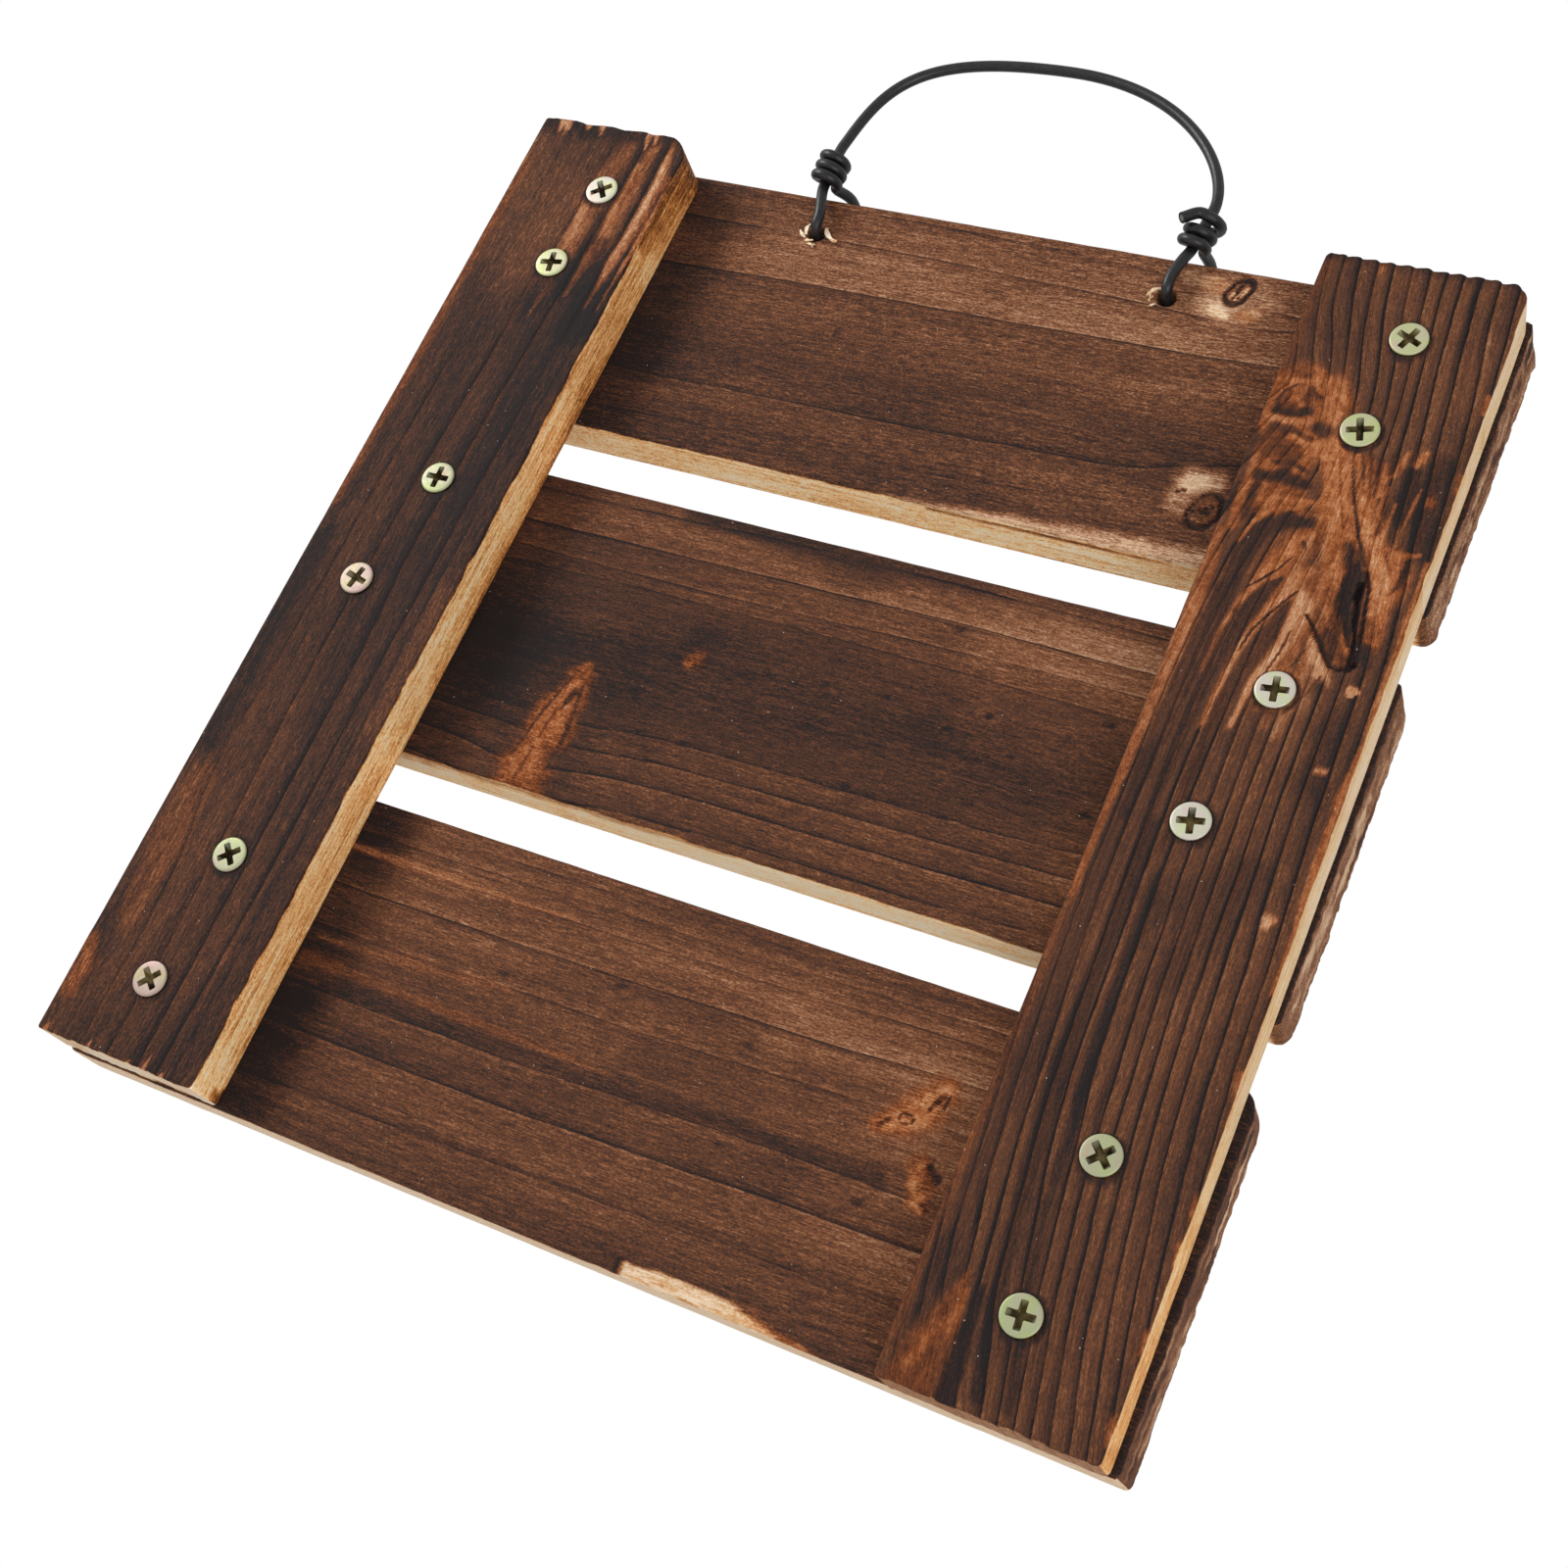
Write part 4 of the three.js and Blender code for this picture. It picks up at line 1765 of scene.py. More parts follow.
TOP_MARKS = (
    # Painted shade: the left batten's shadow on the slat beside it
    shade(0.14, (-84, 52, 18), (-80, 128, 14), soft=1.4, ragged=0.1),
    # Char along the strip of the slat's front beyond the right batten, made darker still as painted shade of
    # the batten's shadow
    char(0.93, (121, 52, 2.4), (121, 126, 2.4), soft=0.6, ragged=0.3, late=0.2),
    shade(0.07, (-60, 50, 12), (-10, 52, 8), (20, 54, 6)),
    # Painted shade: more of the left batten's shadow, in these two darkenings
    shade(0.1, (-77, 58, 8), (-77, 110, 8), soft=1.9, ragged=0.1),
    shade(0.08, (-72, 108, 13), (-70, 88, 14), soft=1.9, ragged=0.1),
    shade(-0.06, (10, 76, 5), (50, 76, 6)),
    char(0.1, (0, 50.6, 1.6), (22, 51.5, 2), (45, 52, 3), (76, 52.5, 4), soft=1.3, ragged=0.12),
    char(0.42, (48, 122, 4), (60, 117, 6.5), (67, 119, 5), soft=1.3, ragged=0.3, late=0, share=0.8),
    char(0.2, (53.6, 116.2, 3.4), (58, 114.4, 2.8), soft=1.5, ragged=0.2, late=0),
    char(0.06, (54.6, 114.8, 1.3), (56.6, 114, 1), soft=1.6, ragged=0.3, raw=0.45),
    shade(0.14, (70, 122, 4), soft=1.4),
    stain(0.3, 0.5, (51, 122, 2), (53, 121.4, 1.6), soft=0.9, ragged=0.7),
    stain(0.28, 0.5, (61.6, 115.4, 2.2), (65.5, 119, 2), soft=0.9, ragged=0.9, depth=-0.1),
    char(1, (57.5, 119.3, 2.6), (58.9, 122.5, 2.5), soft=0.3, ragged=0.15, depth=0.5),
    stain(0.52, 0.4, (57.6, 119.7, 1.6), (58.8, 122.1, 1.5), soft=0.4, late=0, depth=-0.35),
    *(stain(burn, 0.3, (x, z, 0.35), (x + 1.1, z + 2.4, 0.35), soft=1, depth=burn / 4 - 0.05)
      for x, z, burn in ((56.6, 119.2, 0.05), (57.1, 118.6, 0.95), (57.7, 118.8, 0.03), (58.2, 119.2, 0.97),
                         (57.4, 121, 0.95), (58.6, 119.8, 0.05))),
    char(0.16, (62.6, 67.4, 2.6), (65.2, 71.2, 3.6), (69.4, 72.2, 2.8), soft=1.5, ragged=0.2, late=0),
    char(0.05, (64.2, 71, 1.8), (67, 71.8, 1.6), soft=1.6, ragged=0.2, late=0, raw=0.2),
    char(0.36, (64, 65, 2.4), soft=1.5, ragged=0.25, late=0.2),
    char(1, (69.4, 64.2, 3.7), (70.2, 67, 3.6), soft=0.25, ragged=0.15, depth=0.5),
    stain(0.6, 0.2, (69.1, 64.6, 2.75), (69.7, 67, 2.7), soft=0.3, ragged=0.12, late=0, depth=-0.4),
    char(0.97, (67, 64.8, 0.22), (72, 67.4, 0.22), soft=0.8, ragged=0.2, depth=0.2),
    char(0.97, (69.4, 65.6, 0.9), soft=0.9, ragged=0.8, depth=0.2),
    char(0.98, (62.3, 68.7, 0.5), (63.8, 69.4, 0.35), soft=0.6, depth=0.3),
    char(0.8, (-47.8, 97.3, 0.3), (-47.6, 91, 0.25), soft=1.2, ragged=0.7, share=0.7, depth=0.08),
    char(0.9, (-27.6, 91.8, 0.35), (-28.6, 87.7, 0.25), soft=1, share=0.8, depth=0.1),
)
TOP_TONE = ((50, 0.72), (55, 0.7), (60, 0.65), (66, 0.62), (71, 0.73), (80, 0.72), (88, 0.64), (96, 0.6),
            (101, 0.59), (103, 0.49), (110, 0.48), (116, 0.51), (128, 0.56))
TOP_FOOT = (
    shade(0.05, (-80, -10.6, 1.3), (76, -10.4, 1.6), soft=1.4, ragged=0.5),
    char(0.7, (10, -10.9, 0.3), (40, -10.6, 0.4), (76, -10.2, 0.4), soft=1.2, raw=0.4),
    BURNT_CORNER,
)
WIRE_HOLES = tuple(Bore(x, 115.8, 2.3) for x in (-44.4, 43))
TOP_SLAT = Plank(
    "top_slat", "slat_wood", Grain.ALONG_X, SawnRings(TOP_LINES, 86, seed=11), TOP_TONE, TOP_MARKS,
    SLAT_SIDES, (*screw_bores("top"), *WIRE_HOLES), CharredWood(21, grit=2), dense=(46, 76, 90),
    side_marks={Side.RIGHT: scratches(1, 52, 126), Side.FOOT: TOP_FOOT}, end_wear=0.42, end_cell=1.7,
    lean=(1.2, 1), seed=21)

# The middle slat, with a long orange knot at its left
MIDDLE_LINES = (
    Line(((-125, -37), (-76, -36.8), (-60, -38), (-42, -38), (-25, -36.3), (0, -35.4), (59, -34.9),
          (73, -34.3), (125, -33)), 0.9),
    Line(((-125, -29.5), (-78, -30.1), (-67, -30.9), (-58, -32.3), (-42, -31.2), (-33, -29.7), (-18, -28.8),
          (20, -28.4), (73, -27.8), (125, -27.5))),
    Line(((-125, -23), (-62, -24), (-39, -24.9), (-25, -23.6), (-2, -22.8), (31, -22.3), (73, -21.6),
          (125, -21)), 0.5),
    Line(((-125, -19), (-60, -20), (-40, -19.7), (-32, -18.6), (-18, -17.9), (20, -17.4), (53, -16.9),
          (73, -15.9), (125, -15)), 0.8),
    Line(((-125, 14.6), (-71, 14.9), (-47, 15.7), (-18, 15.9), (20, 15.9), (73, 15.2), (125, 15)), 0.6),
    Line(((-125, 19), (-80, 19), (-35, 18.6), (31, 20.1), (125, 20)), 0.35),
    Line(((-125, 25.2), (-80, 25.4), (-38, 25.7), (0, 26.2), (31, 26.4), (73, 26.2), (125, 26))),
    Line(((-125, 34), (-80, 34.2), (-38, 34.8), (-18, 35.4), (20, 35.4), (73, 34.6), (125, 34.4))),
)
MIDDLE_MARKS = (
    # Painted shade: the left batten's shadow on the slat beside it
    shade(0.14, (-84, -38, 16), (-82, 38, 20), soft=1.5, ragged=0.1),
    # Char along the strip of the slat's front beyond the right batten, made darker still as painted shade of
    # the batten's shadow
    char(0.93, (121, -38, 2.4), (121, 38, 2.4), soft=0.6, ragged=0.3, late=0.2),
    shade(0.08, (-80, 32, 14), (-30, 30, 12), (2, 30, 6)),
    shade(-0.15, (44, 30, 10), (76, 28, 12)),
    shade(-0.08, (44, 8, 8), (76, 6, 12)),
    shade(0.25, (-40, 37, 2), (0, 35.4, 4.6), (20, 35.4, 4.8), (76, 36, 4.4), soft=1.9),
    # Painted shade beside the left batten, where its shadow falls, in these four darkenings
    shade(0.12, (-64, -14, 5), (-62, -22, 5)),
    shade(0.09, (-76, -2, 6), (-46, -6, 7)),
    shade(0.07, (-74, -18, 5), (-44, -18, 5)),
    shade(0.12, (-76, -8, 8), (-76, -28, 8)),
    shade(0.08, (-60, -6, 9), (-32, -6, 7), soft=1.7),
    shade(0.08, (-38, -16, 5), (-26, -20, 5)),
    shade(-0.08, (14, 6, 4), (42, 7, 4)),
    shade(-0.1, (70, -9, 5), (70, -30, 5)),
    char(0.86, (-49, -30, 12), (-47, -10, 9), soft=1.5, ragged=0.25, share=0.8),
    stain(0.58, 1, (-50.5, -35.5, 6.4), (-50, -28, 6.2), (-49, -18, 4.8), (-47.8, -10, 3),
          (-47.6, -6.5, 1.6), soft=0.9, ragged=0.35, late=0),
    stain(0.42, 1, (-51, -32, 3.2), (-50, -20, 3), (-48.4, -11, 1.2), soft=1.5),
    stain(0.8, 0.5, (-45.4, -32, 0.3), (-44.8, -22, 0.4), (-46.2, -11, 0.3), soft=1.1, ragged=0.6,
          depth=0.1),
    stain(0.74, 0.6, (-54.6, -30, 0.3), (-52.6, -19, 0.3), (-49.6, -9, 0.25), soft=1.1, ragged=0.6,
          depth=0.1),
    stain(0.64, 0.9, (-51.5, -36, 0.3), (-50.6, -26, 0.3), (-49.6, -17, 0.2), soft=1.2, ragged=0.8),
    stain(0.82, 0.5, (-48.6, -17.2, 0.3), (-47.6, -12.8, 0.7), soft=1.1, depth=0.1),
    char(0.97, (-24, 6.8, 4), ragged=0.3, share=0.6),
    stain(0.68, 1, (-25.4, 0.8, 1.2), (-23.6, 2.6, 1.8), (-22.6, 4.2, 0.8)),
    stain(0.52, 1, (-25.2, 1, 0.7), (-24.4, 1.8, 0.5)),
    *(char(0.97, (x, z, 0.6), (x + 0.8, z - 0.1, 0.45), soft=1.3, depth=0.12)
      for x, z in ((-41.1, 4.3), (-61.7, 1.2), (-33.3, -9.9), (-6.7, 3.7), (21.1, 5.7), (10.6, 1.4),
                   (36.1, 2.6), (6.1, -5.7), (31.1, -4.7), (46.7, -12.1), (43.3, 7.6), (56.1, -4.1),
                   (70, -7.7), (67.8, 12.7), (59.4, 4), (51.1, 0.7), (66.7, -0.8), (29.4, 25.1),
                   (20.6, -15.8), (-18.3, -17.1))),
)
MIDDLE_TONE = ((-38, 0.66), (-34, 0.66), (-28, 0.67), (-20, 0.69), (-12, 0.78), (-3, 0.84), (6, 0.82),
               (13, 0.74), (17, 0.66), (24, 0.58), (27, 0.5), (33, 0.48), (38, 0.56))
MIDDLE_FOOT = (
    char(0.4, (-80, -11.2, 3.2), (-64, -11.4, 2.2), (-20, -11.4, 2), (4, -11.8, 1.2), soft=1.3, ragged=0.6,
         raw=0.5),
    BURNT_CORNER,
)
MIDDLE_SLAT = Plank(
    "middle_slat", "slat_wood", Grain.ALONG_X, SawnRings(MIDDLE_LINES, -1, seed=12), MIDDLE_TONE,
    MIDDLE_MARKS, {**SLAT_SIDES, Side.FOOT: (0.17, 1), Side.RIGHT: (0.41, 0)}, screw_bores("middle"),
    CharredWood(22), dense=(-60, -20, 100),
    side_marks={Side.RIGHT: scratches(2, -38, 38), Side.FOOT: MIDDLE_FOOT}, end_wear=0.42, end_cell=1.7,
    lean=(1.1, 1.1), seed=22)

# The bottom slat, with two orange knots and a split-off stretch of its lower edge
BOTTOM_LINES = (
    Line(((-125, -116), (-75, -115.4), (-47, -114.8), (-18, -114.2), (20, -113.1), (51, -112.1),
          (73, -111.4), (125, -110))),
    Line(((-125, -103.6), (-75, -103.4), (-36, -103.2), (0, -102.6), (20, -101.7), (51, -100.9),
          (73, -100.4), (125, -99))),
    Line(((-125, -94.2), (-60, -94), (-36, -93.8), (0, -93.2), (20, -92.3), (51, -91.8), (73, -92),
          (125, -91)), 0.6),
    Line(((-125, -80), (-18, -79.5), (40, -77.5), (54, -77), (125, -76)), 0.35),
    Line(((-125, -70.4), (-38, -69.9), (-18, -69.7), (0, -69.4), (20, -68.8), (42, -68.3), (60, -67.4),
          (125, -66)), 0.9),
    Line(((-125, -62), (-50, -62), (-20, -61.7), (0, -61.2), (14, -60.7), (31, -60.4), (64, -59.3),
          (125, -58)), 0.7),
    Line(((-125, -57), (-60, -57.5), (0, -56.5), (73, -55.4), (125, -55)), 0.4),
    Line(((-125, -53.6), (-38, -53.4), (0, -52.8), (73, -52.3), (125, -52)), 0.6),
)
BOTTOM_MARKS = (
    # Painted shade: the left batten's shadow on the slat beside it
    shade(0.14, (-84, -125, 16), (-84, -50, 12), soft=1.5, ragged=0.1),
    # Char along the strip of the slat's front beyond the right batten, made darker still as painted shade of
    # the batten's shadow
    char(0.93, (121, -125, 2.4), (121, -52, 2.4), soft=0.6, ragged=0.3, late=0.2),
    # Painted shade beside the left batten, where its shadow falls
    shade(0.08, (-74, -106, 14), (-60, -106, 10)),
    shade(-0.1, (36, -70, 10), (76, -72, 14)),
    # Painted shade beside the left batten, where its shadow falls, in these two darkenings
    shade(0.15, (-77, -50, 8), (-77, -78, 7), (-77, -106, 7), soft=1.9, ragged=0.1),
    shade(0.14, (-75, -51, 6), (-75, -60, 6), soft=1.9, ragged=0.1),
    shade(0.07, (6, -82, 4), (30, -82, 4)),
    # Painted shade beside the left batten, where its shadow falls
    shade(0.12, (-75, -97, 6), (-75, -119, 6)),
    shade(0.09, (-64, -103, 4), (6, -103, 4)),
    shade(-0.09, (50, -96, 5), (72, -101, 8)),
    shade(0.05, (40, -78, 6), (54, -72, 6)),
    shade(0.05, (8, -54, 3), (60, -54, 3)),
    char(0.84, (-80, -91.4, 2), (-20, -91.4, 2.1), (20, -90.6, 2), (60, -90, 1.7), soft=1.2, ragged=0.2,
         share=0.8),
    stain(0.4, 0.5, (-80, -61.6, 0.7), (-50, -61.9, 0.8), (-22, -61.4, 0.4), ragged=0.7, share=0.7),
    stain(0.44, 0.35, (-78, -83, 0.6), (-62, -82.4, 1.2), (-45, -81, 1.2), (-28, -80, 0.5), ragged=0.8,
          share=0.7),
    stain(0.54, 0.55, (-78, -88, 1.4), (-50, -88.6, 1.2), (-20, -89, 0.8), (0, -89.2, 0.4), ragged=0.6,
          share=0.7),
    stain(0.5, 1, (56, -80, 2), (60.4, -77.6, 3.8), (64.5, -72, 3.4), (65.8, -69.2, 1.8),
          ragged=0.4, late=0),
    stain(0.31, 1, (57.4, -79.4, 1.4), (60.6, -77.2, 2.6), (63.6, -73.6, 1.8), (65.4, -70.4, 1.3),
          soft=1.2, ragged=0.6),
    stain(0.78, 0.7, *ring_of(60.4, -77.4, 1.5, 0.95, 0.22), soft=1.1, ragged=0.3, depth=0.08),
    stain(0.74, 0.9, (64, -74.2, 0.35), (65.8, -70.6, 0.4), soft=1.1, ragged=0.9, depth=0.15),
    stain(0.84, 0.5, (66.6, -73.6, 0.25), (66.8, -70.8, 0.25), soft=1, ragged=0.6, depth=0.1),
    stain(0.76, 0.8, (55.6, -80.2, 0.3), (57.2, -78.6, 0.35), soft=1, ragged=0.8, depth=0.15),
    stain(0.62, 1, (66.2, -84.4, 1.6), (67.4, -88, 2.8), (69.6, -92, 1.8), late=0),
    stain(0.33, 1, (66.2, -88.4, 1.5), (68.6, -91.2, 1.6), (69.6, -93, 0.6), soft=1.2, ragged=0.6),
    stain(0.52, 1, (66.6, -85.2, 0.7), (67.6, -86.4, 0.5), soft=1.2),
    stain(0.93, 0.2, (68.4, -84.6, 0.5), (70.4, -86.2, 0.8), soft=1.1, ragged=0.7, depth=0.3),
    stain(0.74, 0.8, (67.2, -88.4, 0.25), (68.4, -89.8, 0.3), soft=1, ragged=0.7, depth=0.1),
    stain(0.84, 0.7, (69.6, -91.8, 0.3), (71, -92.6, 0.4), soft=1, ragged=0.8, depth=0.2),
    stain(0.42, 0.9, (46, -123.8, 2.3), (53, -124.7, 1.7), (62, -125.2, 0.6), soft=1.2, late=0),
    *(char(0.06, *points, soft=0.2, ragged=0.08, late=0, raw=0.35, depth=0.5)
      for points in (((19.8, -122.9, 1.2), (19.8, -126, 1.2)),
                     ((21.6, -124.6, 2.8), (32, -124.6, 3.2), (42, -124.6, 3.2), (47, -125, 2.3),
                      (52, -125.4, 1.1)))),
    stain(0.34, 0.8, (43, -123.2, 2), (50, -124.5, 1.7), soft=1.5, ragged=0.7, share=0.75),
    # Painted shadow along the step at the left end of the split-off stretch
    char(0.97, (18.2, -121.8, 0.3), (18.2, -125, 0.35), soft=0.8, ragged=0.2),
    *(stain(0.34, 0.7, (x, -123.6 - drop, 0.3), (x + 5, -123.8 - drop, 0.2), ragged=0.7)
      for x, drop in ((21, 0.6), (26, -0.4), (31, 0.9), (36, 0.2), (40, -0.6))),
    *(char(0.95, (x, z, 0.7), (x + 1, z, 0.5), share=0.8)
      for x, z in ((24, -74.2), (-33, -77.2), (-7, -71.3), (-6, -96.3), (57, -95.6), (26.7, -94.6))),
)
BOTTOM_TONE = ((-126, 0.76), (-121, 0.72), (-116, 0.62), (-112, 0.63), (-104, 0.58), (-100, 0.66),
               (-95, 0.68), (-88, 0.64), (-80, 0.63), (-72, 0.59), (-66, 0.54), (-60, 0.56), (-55, 0.58),
               (-49, 0.6))
BOTTOM_SLAT = Plank(
    "bottom_slat", "slat_wood", Grain.ALONG_X, SawnRings(BOTTOM_LINES, -83, seed=13), BOTTOM_TONE,
    BOTTOM_MARKS, {**SLAT_SIDES, Side.FOOT: (0.03, 0.4), Side.RIGHT: (0.54, 0)}, screw_bores("bottom"),
    CharredWood(23, core_dark=0.18, tail_dark=0.14), corners=(3, 6, 1.5, 1.5), dense=(52, 76, 80),
    side_marks={Side.RIGHT: scratches(3, -125, -50)}, end_wear=0.36, end_cell=1.7, lean=(1, 0.2), seed=23)

# The left batten, darkest half-way up and light at its top right
LEFT_LINES = (
    Line(((-126, -110), (-85, -110), (-75, -111), (-65, -113), (-40, -113.5), (0, -113), (60, -112),
          (128, -110)), 0.4),
    Line(((-126, -102.7), (-95, -102), (-68, -103), (-45, -104), (-10, -104), (20, -103.5), (62, -102.2),
          (81, -101.8), (92, -100.4), (107, -100.1), (128, -99.5)), 0.8),
    Line(((-126, -94.2), (-65, -94), (-20, -94.5), (0, -95.3), (30, -95), (70, -93.5), (86, -92.7),
          (99, -92.1), (128, -91.6)), 1),
    Line(((-126, -89), (-85, -88), (-38, -88.3), (0, -88), (40, -87), (78, -85.7), (107, -85.1),
          (128, -85.1)), 1),
    Line(((-126, -85), (-60, -84.3), (0, -84.5), (40, -83.2), (78, -82), (92, -81.3), (128, -79.6)), 0.8),
)
LEFT_MARKS = (
    shade(-0.12, (-124, 118, 9), (-112, 102, 13), (-108, 84, 9), soft=1.5),
    Mark(((-112, 124, 9), (-112, 80, 9), (-112, 60, 6)), soft=1.3, ragged=0.2, late=0.1),
    shade(0.03, (-112, 64, 12), (-100, 40, 16), (-92, 10, 12), soft=1.5),
    shade(-0.06, (-100, -40, 14), (-98, -100, 14), soft=1.5),
    stain(0.56, 0.4, (-95.6, 126, 1.8), (-96, 108, 3.6), (-96.6, 94, 3.4), (-97.4, 80, 1.6),
          (-98, 70, 0.4), soft=1.3, ragged=0.4),
    stain(0.42, 0.5, (-98.4, 106, 0.8), (-98.4, 94, 0.9), (-99, 84, 0.4), ragged=0.7),
    char(0.72, (-94, 116, 0.3), (-93.6, 100, 0.8), (-94.2, 84, 0.3), ragged=0.6),
    stain(0.46, 0.55, (-88.6, 126, 1.4), (-89, 108, 2.6), (-89.6, 94, 2.2), (-90.6, 86, 0.9),
          (-91.4, 78, 0.2), soft=1.2, ragged=0.45),
    stain(0.34, 0.6, (-90.9, 118, 0.3), (-90.7, 104, 0.8), (-91.3, 90, 0.6), (-92, 78, 0.2), ragged=0.7),
    stain(0.62, 0.3, (-87.3, 120, 0.4), (-87.2, 104, 0.7), (-88, 90, 0.5), ragged=0.7),
    stain(0.38, 0.6, (-84.4, 126, 0.9), (-83.1, 112, 1.8), (-83.3, 100, 1.8), (-84.1, 88, 1.3),
          (-85, 76, 0.4), soft=1.1, ragged=0.45),
    stain(0.2, 0.5, (-84.4, 122, 0.4), (-83.9, 112, 0.7), (-83.9, 100, 0.6), (-84.6, 90, 0.2), ragged=0.7),
    stain(0.4, 0.8, (-80.6, 116, 0.3), (-80.4, 102, 0.7), (-81, 88, 0.5), (-81.6, 76, 0.2), soft=1.3,
          ragged=0.6),
    char(0.94, (-84, 64, 3.6), (-85, 52, 4.8), (-83, 38, 4), ragged=0.3, late=0.2),
    char(0.9, (-81, 74, 1.4), (-80.8, 30, 2), (-80.8, 0, 1.4), soft=1.5, ragged=0.2, share=0.8),
    *(shade(tone, (x, z, 2.2), (x - 1.4, z - 12, 3.4), soft=1.8, ragged=0.3)
      for x, z, tone in ((-97.4, 86, 0.2), (-90.6, 94, 0.34), (-84.8, 82, 0.24), (-81.2, 82, 0.2))),
    shade(-0.13, (-83, -4, 3), (-83, -38, 3), soft=1.5),
    shade(0.1, (-90, 78, 3.4), (-90, 18, 3.4), ragged=0.3),
    shade(0.09, (-97, 6, 4), (-97, -42, 4), ragged=0.3),
    shade(-0.08, (-106, 120, 6), (-104, 98, 6), ragged=0.3),
    shade(0.1, (-119.6, 60, 3), (-119.6, 6, 3), ragged=0.3),
    stain(0.56, 0.7, (-121.2, 114, 1.6), (-121.2, 50, 1.8), (-121.4, 12, 1.2), soft=1.6, ragged=0.2,
          share=0.85),
    shade(0.18, (-119.8, 2, 3.2), (-119.8, -52, 3.2), ragged=0.3),
    stain(0.62, 0.3, (-116.5, -60, 3.2), (-116, -78, 4.6), (-114.6, -97, 2.8), soft=0.9, ragged=0.25),
    char(0.9, (-123, -97, 3), (-119, -101, 1.6), (-116.6, -106, 1.2), (-116.8, -112, 0.9), soft=1.1,
         ragged=0.2, share=0.85),
    stain(0.58, 0.75, (-120.6, -103, 2.2), (-119, -108, 2.8), (-119.6, -114, 2.2), ragged=0.3, late=0),
    stain(0.46, 0.8, (-119.4, -106, 0.8), (-118.6, -110, 0.7), soft=1.5, ragged=0.4),
    char(0.95, (-122, 126.5, 3), (-79, 127.5, 2.6), soft=1.5, ragged=0.35, late=0.3, share=0.9),
    *(stain(0.24, 0.4, (x, 127.5, 0.7), (x + 0.6, 127.5 - length, 0.25), soft=1, ragged=0.6)
      for x, length in ((-117, 3.6), (-115.4, 4.2), (-114.8, 2.6), (-109.6, 1.8), (-105.6, 2.4), (-92, 5),
                        (-90, 3))),
    *(stain(0.32, 0.5, (x, -124.5, 0.6), (x + 0.3, -124.5 + length, 0.2), soft=1, ragged=0.6)
      for x, length in ((-120, 2), (-108, 1.6), (-92.7, 3.4), (-88, 1.2), (-97, 1.2))),
    # Painted shadows round the screw heads
    *head_shadows("left"),
)
LEFT_INNER = (
    char(0.43, (100, -18, 7), (60, -18, 7), ragged=0.2),
    char(0.56, (127, -18, 7), (106, -18, 6.5), soft=1.2, ragged=0.2),
    char(0.76, (127, -18, 6), (121, -18, 6), ragged=0.2),
    char(0.78, (116, -22.6, 2), (106, -22, 2), (97, -22.6, 1.2), ragged=0.4, share=0.9),
    char(0.31, (-117, -18, 5), (-126, -18, 6), soft=1, ragged=0.3),
    char(0.84, (-112.6, -21.4, 0.6), (-114.4, -20, 0.7), soft=1.2, ragged=0.6),
    char(0.8, (-121, -12.6, 0.6), (-124.5, -13.4, 1.6), soft=1),
    shade(0.16, (90, -14, 1.2), (40, -13.4, 1.4), (-20, -13.4, 1.2), soft=1.5, ragged=0.5),
    shade(-0.12, (20, -20, 2), (-10, -20, 2.4), (-50, -21, 2), soft=1.5, ragged=0.4),
    shade(0.12, (-60, -16, 1.4), (-110, -15, 1.6), soft=1.5, ragged=0.5),
)
LEFT_TONE = ((-123, 0.76), (-114, 0.79), (-108, 0.8), (-101, 0.81), (-95, 0.82), (-88, 0.83), (-82, 0.84),
             (-78, 0.86))
LEFT_SIDES = {
    Side.LEFT: (0.62, 0), Side.RIGHT: (0.36, 1), Side.FOOT: (0.06, 0.4),
    Side.TOP: (0.85, 0), Side.BACK: (0.45, 1),
}
LEFT_BATTEN = Plank(
    "left_batten", "batten_wood", Grain.ALONG_Z, SawnRings(LEFT_LINES, -124, seed=14), LEFT_TONE,
    LEFT_MARKS, LEFT_SIDES, screw_bores("left"),
    # The light band beside each line is a faint painted highlight
    CharredWood(24, core_dark=0.09, tail_dark=0.17, line_tail=4.2, ridge_highlight=0.03),
    corners=(1, 7, 0.7, 0.9), arris=0.6, tear=0.27, scorch=0.15, cells=(96, 300, 9),
    dense=(60, 118, 110), scallop=0.6, lean=(-0.7, -0.7),
    side_marks={Side.RIGHT: LEFT_INNER, Side.FOOT: scratches(4, -122, -82, BATTEN_SAWN)}, seed=24)

